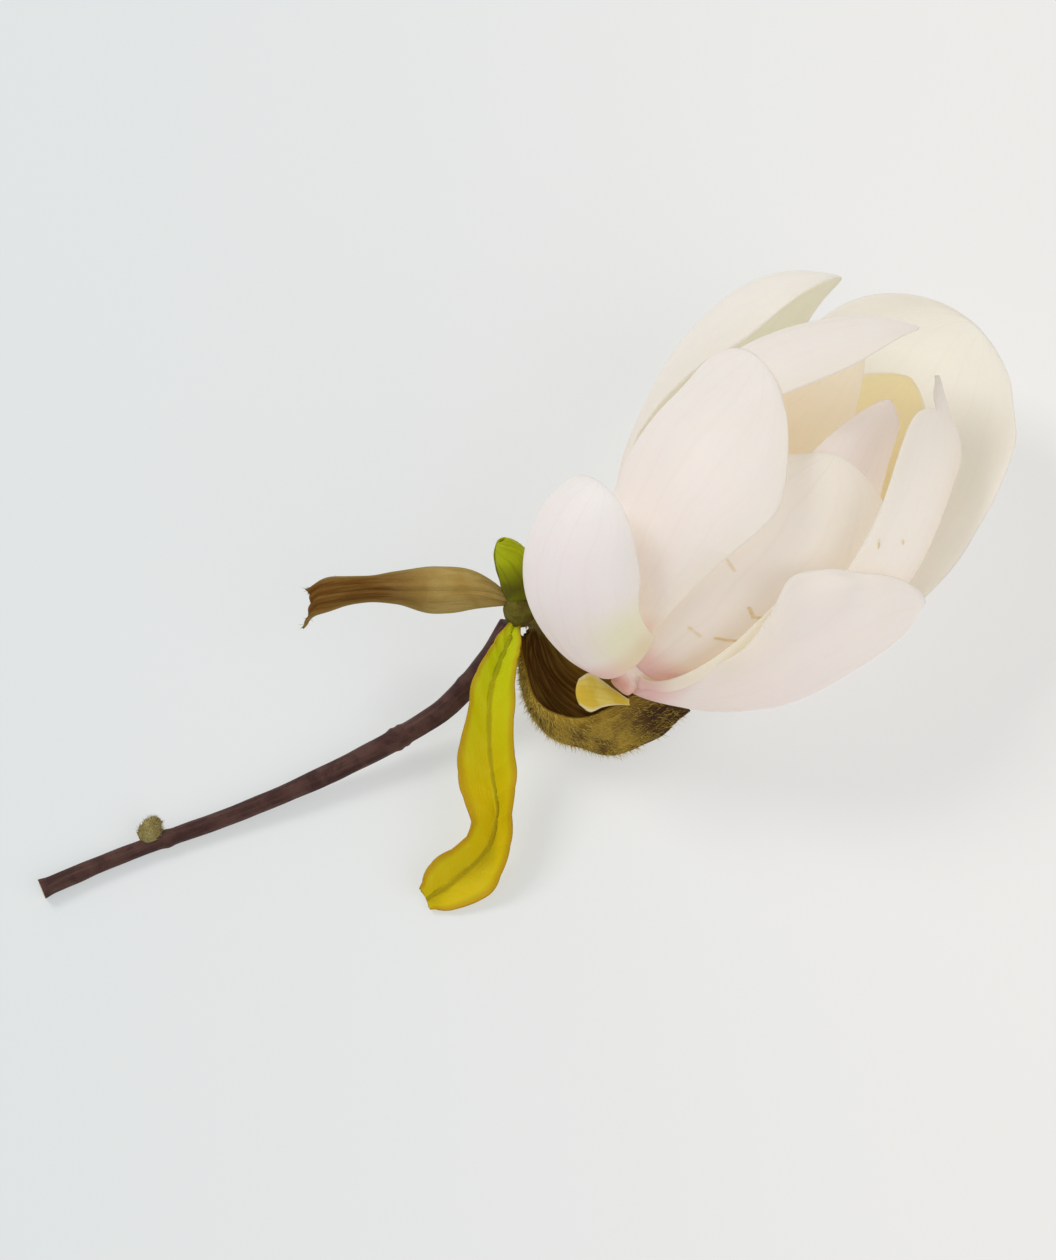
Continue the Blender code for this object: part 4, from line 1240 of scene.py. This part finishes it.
    def add_knob(self) -> None:
        """The curled green leaf at the node: a blade rolled nearly shut round a bent line."""
        rows, columns = 70, 70
        t = np.linspace(0, 1, rows)[:, None]
        roll = np.radians(np.linspace(-165, 165, columns))[None, :]
        line = smooth_line(self.knob_line, rows)
        first, second = carried_frames(line)
        size = 2.6 * np.clip(np.sin(np.pi * (0.12 + 0.85 * t) ** 0.9), 0.05, 1) ** 0.6
        radius = size * (1 - 0.25 * (np.abs(roll) / np.pi) ** 2)
        ring = np.cos(roll)[..., None] * first[:, None] + np.sin(roll)[..., None] * second[:, None]
        middle = line[:, None] + ring * radius[..., None]
        middle += normals(middle) * (0.12 * ripples(middle, 3.0, 41))[..., None]
        finish = PlantFinish("knob_skin", (0.11, 0.10, 0.001), (0.18, 0.18, 0.001), (0.06, 0.05, 0.001), 0.55,
                             patch_scale=0.3, depth=0.12, subsurface=0.1, far=(0.42, 0.46, 0.002),
                             far_from=(0.3, 0.75))
        wall = np.full((rows, columns), 0.4)
        add_shell("curled_leaf", middle[:, ::-1], wall, finish.material(), "leaf_knob")

    def add_bract(self) -> None:
        """The dry bract: an arched strip with deep lengthwise wrinkles, its underside downy."""
        rows, columns = 140, 60
        middle = between_lines((self.bract_near, self.bract_middle, self.bract_far), rows, columns, 2.0)
        share = np.linspace(0, 1, rows)[:, None]
        across = np.linspace(-1, 1, columns)[None, :]
        ragged = 0.6 * ripples(middle[:, :1] * (1, 1, 1), 5.0, 51) * share
        middle[..., 0] -= 0.9 * share**6 * np.abs(across) ** 2
        wrinkle = 0.14 * np.sin(across * 13 + 1.2 * ripples(middle, 9.0, 52))
        wrinkle = wrinkle + 0.3 * ripples(middle, 6.0, 53) * share
        middle = middle + normals(middle) * (wrinkle + ragged * 0.4)[..., None]
        finish = PlantFinish("bract_skin", (0.42, 0.27, 0.065), (0.50, 0.35, 0.11), (0.26, 0.14, 0.02), 0.7,
                             patch_scale=0.22, depth=0.3, margin=(0.42, 0.32, 0.09), margin_share=0.45,
                             inside=(0.38, 0.26, 0.09), far=(0.15, 0.060, 0.006), far_from=(0.35, 0.65))
        wall = np.full((rows, columns), 0.35)
        add_shell("bract_blade", middle, wall, finish.material(), "dry_bract")
        self.add_fur("bract_down", middle, 2200, 0.7, 54, (0.52, 0.40, 0.14), side=-1.0)

    def add_scale(self) -> None:
        """The bud scale: a boat, smooth and dark inside, its outside covered in tan hairs."""
        rows, columns = 120, 90
        middle = between_lines((self.scale_near, self.scale_middle, self.scale_far), rows, columns, 2.0)
        across = np.linspace(-1, 1, columns)[None, :]
        ribs = 0.10 * np.sin(across * 26 + ripples(middle, 12.0, 61))
        middle = middle + normals(middle) * (ribs + 0.2 * ripples(middle, 8.0, 62))[..., None]
        middle[..., 2] = np.maximum(middle[..., 2], 0.9)
        # The near-black far end is painted shade in the hollow under the tepals; the dark inner face is its
        # own colour.
        finish = PlantFinish("scale_skin", (0.36, 0.23, 0.03), (0.10, 0.045, 0.008), (0.44, 0.32, 0.06), 0.6,
                             patch_scale=0.35, depth=0.2, inside=(0.095, 0.032, 0.001),
                             margin=(0.40, 0.24, 0.02), margin_share=0.5, far=(0.045, 0.016, 0.005),
                             far_from=(0.66, 0.82))
        wall = 0.3 + 0.3 * (1 - np.abs(across) ** 6) * np.ones((rows, 1))
        add_shell("scale_boat", middle, wall, finish.material(), "bud_scale")
        self.add_fur("scale_fur", middle, 5600, 1.1, 63, (0.72, 0.54, 0.11), side=1.0, thinning=1.7)

    def add_fur(self, name: str, middle: Array, count: int, length: float, seed: int, colour: Colour,
                side: float, thinning: float = 1.0) -> None:
        """Hairs all over one face of a sheet, leaning towards its far end.

        Args:
            name: the piece's name.
            middle: the sheet's middle surface.
            count: how many hairs there are.
            length: of a hair, in millimetres.
            seed: picks where they stand.
            colour: of the hairs.
            side: 1 for the outer face and -1 for the inner one.
            thinning: above 1 where the hairs stand farther apart towards the far end.
        """
        rng = np.random.default_rng(seed)
        rows, columns = middle.shape[:2]
        i = (1 + rng.beta(1.0, thinning, count) * (rows - 2)).astype(int)
        j = rng.integers(0, columns, count)
        out = normals(middle)[i, j] * side
        tangent = middle[np.minimum(i + 1, rows - 1), j] - middle[i - 1, j]
        tangent /= np.linalg.norm(tangent, axis=1, keepdims=True)
        way = out * 0.75 + tangent * 0.7 + rng.normal(scale=0.3, size=out.shape)
        way /= np.linalg.norm(way, axis=1, keepdims=True)
        lengths = rng.uniform(0.45, 1.2, count) * length
        root = middle[i, j] + out * 0.1
        low = (root + way * lengths[:, None])[:, 2]
        way[:, 2] += np.clip((0.25 - low) / lengths, 0, 2)
        way /= np.linalg.norm(way, axis=1, keepdims=True)
        darker, lighter = (tuple(part * share for part in colour) for share in (0.8, 1.2))
        finish = PlantFinish(name + "_skin", colour, darker, lighter, 0.7)
        add_hairs(name, root, way, lengths, 0.04, finish.material(), seed)

    def add_lobe(self) -> None:
        """The small yellow tepal that never grew out."""
        rows, columns = 60, 50
        middle = between_lines((self.lobe_far, self.lobe_middle, self.lobe_near), rows, columns, 2.0)
        middle = middle + normals(middle) * (0.15 * ripples(middle, 3.0, 71))[..., None]
        finish = PlantFinish("lobe_skin", (0.66, 0.48, 0.05), (0.74, 0.60, 0.13), (0.54, 0.36, 0.03), 0.5,
                             patch_scale=0.4, depth=0.1, subsurface=0.15, margin=(0.76, 0.68, 0.42),
                             margin_share=0.9)
        add_shell("lobe_blade", middle, np.full((rows, columns), 0.4), finish.material(), "sepal_lobe")


# Studio


@dataclass
class Studio:
    """The pale table, the soft light and the camera."""

    floor_size: float = 6.0
    floor_shaded_left: Colour = (0.73, 0.76, 0.76)
    floor_warm: Colour = (0.84, 0.83, 0.81)
    floor_glow: float = 0.58
    floor_shade: float = 0.48
    camera_place: Point = (0.0, -200.0, 346.41)
    camera_lens: float = 85.0
    camera_rise: float = 60.0
    room_strength: float = 0.44

    def build(self) -> None:
        """Adds all of it."""
        self.add_floor()
        self.add_light()
        self.add_camera()

    def add_floor(self) -> None:
        """A wide plain floor, lit from below as on a light table, with painted shade that makes it darker and
        cooler on the left.
        """
        half = self.floor_size / 2
        mesh = bpy.data.meshes.new("table")
        corners = [(-half, -half, 0), (half, -half, 0), (half, half, 0), (-half, half, 0)]
        mesh.from_pydata(corners, [], [(0, 1, 2, 3)])
        floor = bpy.data.objects.new("table", mesh)
        bpy.context.scene.collection.objects.link(floor)
        g = Graph("table_top")
        where = g.add("ShaderNodeTexCoord", {}, {}, "Object")
        parts = g.nodes.new("ShaderNodeSeparateXYZ")
        g.links.new(where.source, parts.inputs[0])
        # Painted shade: the floor colour fades from the darker, cooler left to the warmer right.
        shift = Value(g, parts.outputs[0]).step(-0.09, 0.09)
        glow = g.mix(shift, self.floor_shaded_left, self.floor_warm)
        base = g.mix(self.floor_shade, (0.0, 0.0, 0.0), glow)
        mesh.materials.append(g.finish(g.principled({
            "Base Color": base, "Roughness": 0.7, "Specular IOR Level": 0.1,
            "Emission Color": glow, "Emission Strength": self.floor_glow,
        })))

    def add_light(self) -> None:
        """Even light from all round, a soft one high on the left and a broad one in front on the right."""
        scene = bpy.context.scene
        world = bpy.data.worlds.new("room_light")
        world.use_nodes = True
        background = world.node_tree.nodes["Background"]
        background.inputs["Color"].default_value = (0.97, 0.985, 1.0, 1.0)
        background.inputs["Strength"].default_value = self.room_strength
        scene.world = world
        self.add_lamp("broad_light", (-0.63, 0.39, 0.88), (0.5, 0.4), 5.6, (1.0, 0.985, 0.965))
        self.add_lamp("fill_light", (0.70, -0.65, 0.80), (1.1, 0.9), 4.6, (1.0, 0.985, 0.97))
        scene.view_settings.view_transform = "Standard"

    @staticmethod
    def add_lamp(name: str, place: Point, size: tuple[float, float], power: float, colour: Colour) -> None:
        """A rectangular light that faces the middle of the table.

        Args:
            name: the light's name.
            place: where it hangs, in metres.
            size: its sides, in metres.
            power: in watts.
            colour: of its light.
        """
        light = bpy.data.lights.new(name, "AREA")
        light.shape = "RECTANGLE"
        light.size, light.size_y = size
        light.energy = power
        light.color = colour
        lamp = bpy.data.objects.new(name, light)
        lamp.location = place
        lamp.rotation_euler = (-Vector(place)).to_track_quat("-Z", "Y").to_euler()
        bpy.context.scene.collection.objects.link(lamp)

    def add_camera(self) -> None:
        """The camera looks down at the table from the front."""
        data = bpy.data.cameras.new("view")
        data.lens = self.camera_lens
        data.sensor_width = 36.0
        camera = bpy.data.objects.new("view", data)
        camera.location = to_metres(np.array(self.camera_place))
        camera.rotation_euler = (np.radians(90.0 - self.camera_rise), 0.0, 0.0)
        bpy.context.scene.collection.objects.link(camera)
        bpy.context.scene.camera = camera


def main() -> None:
    """Builds the bud and its studio."""
    logging.basicConfig(level=logging.INFO, format="%(message)s")
    Studio().build()
    Bloom().build()
    Heart().build()
    Stem().build()
    Leaves().build()


if __name__ == "__main__":
    main()
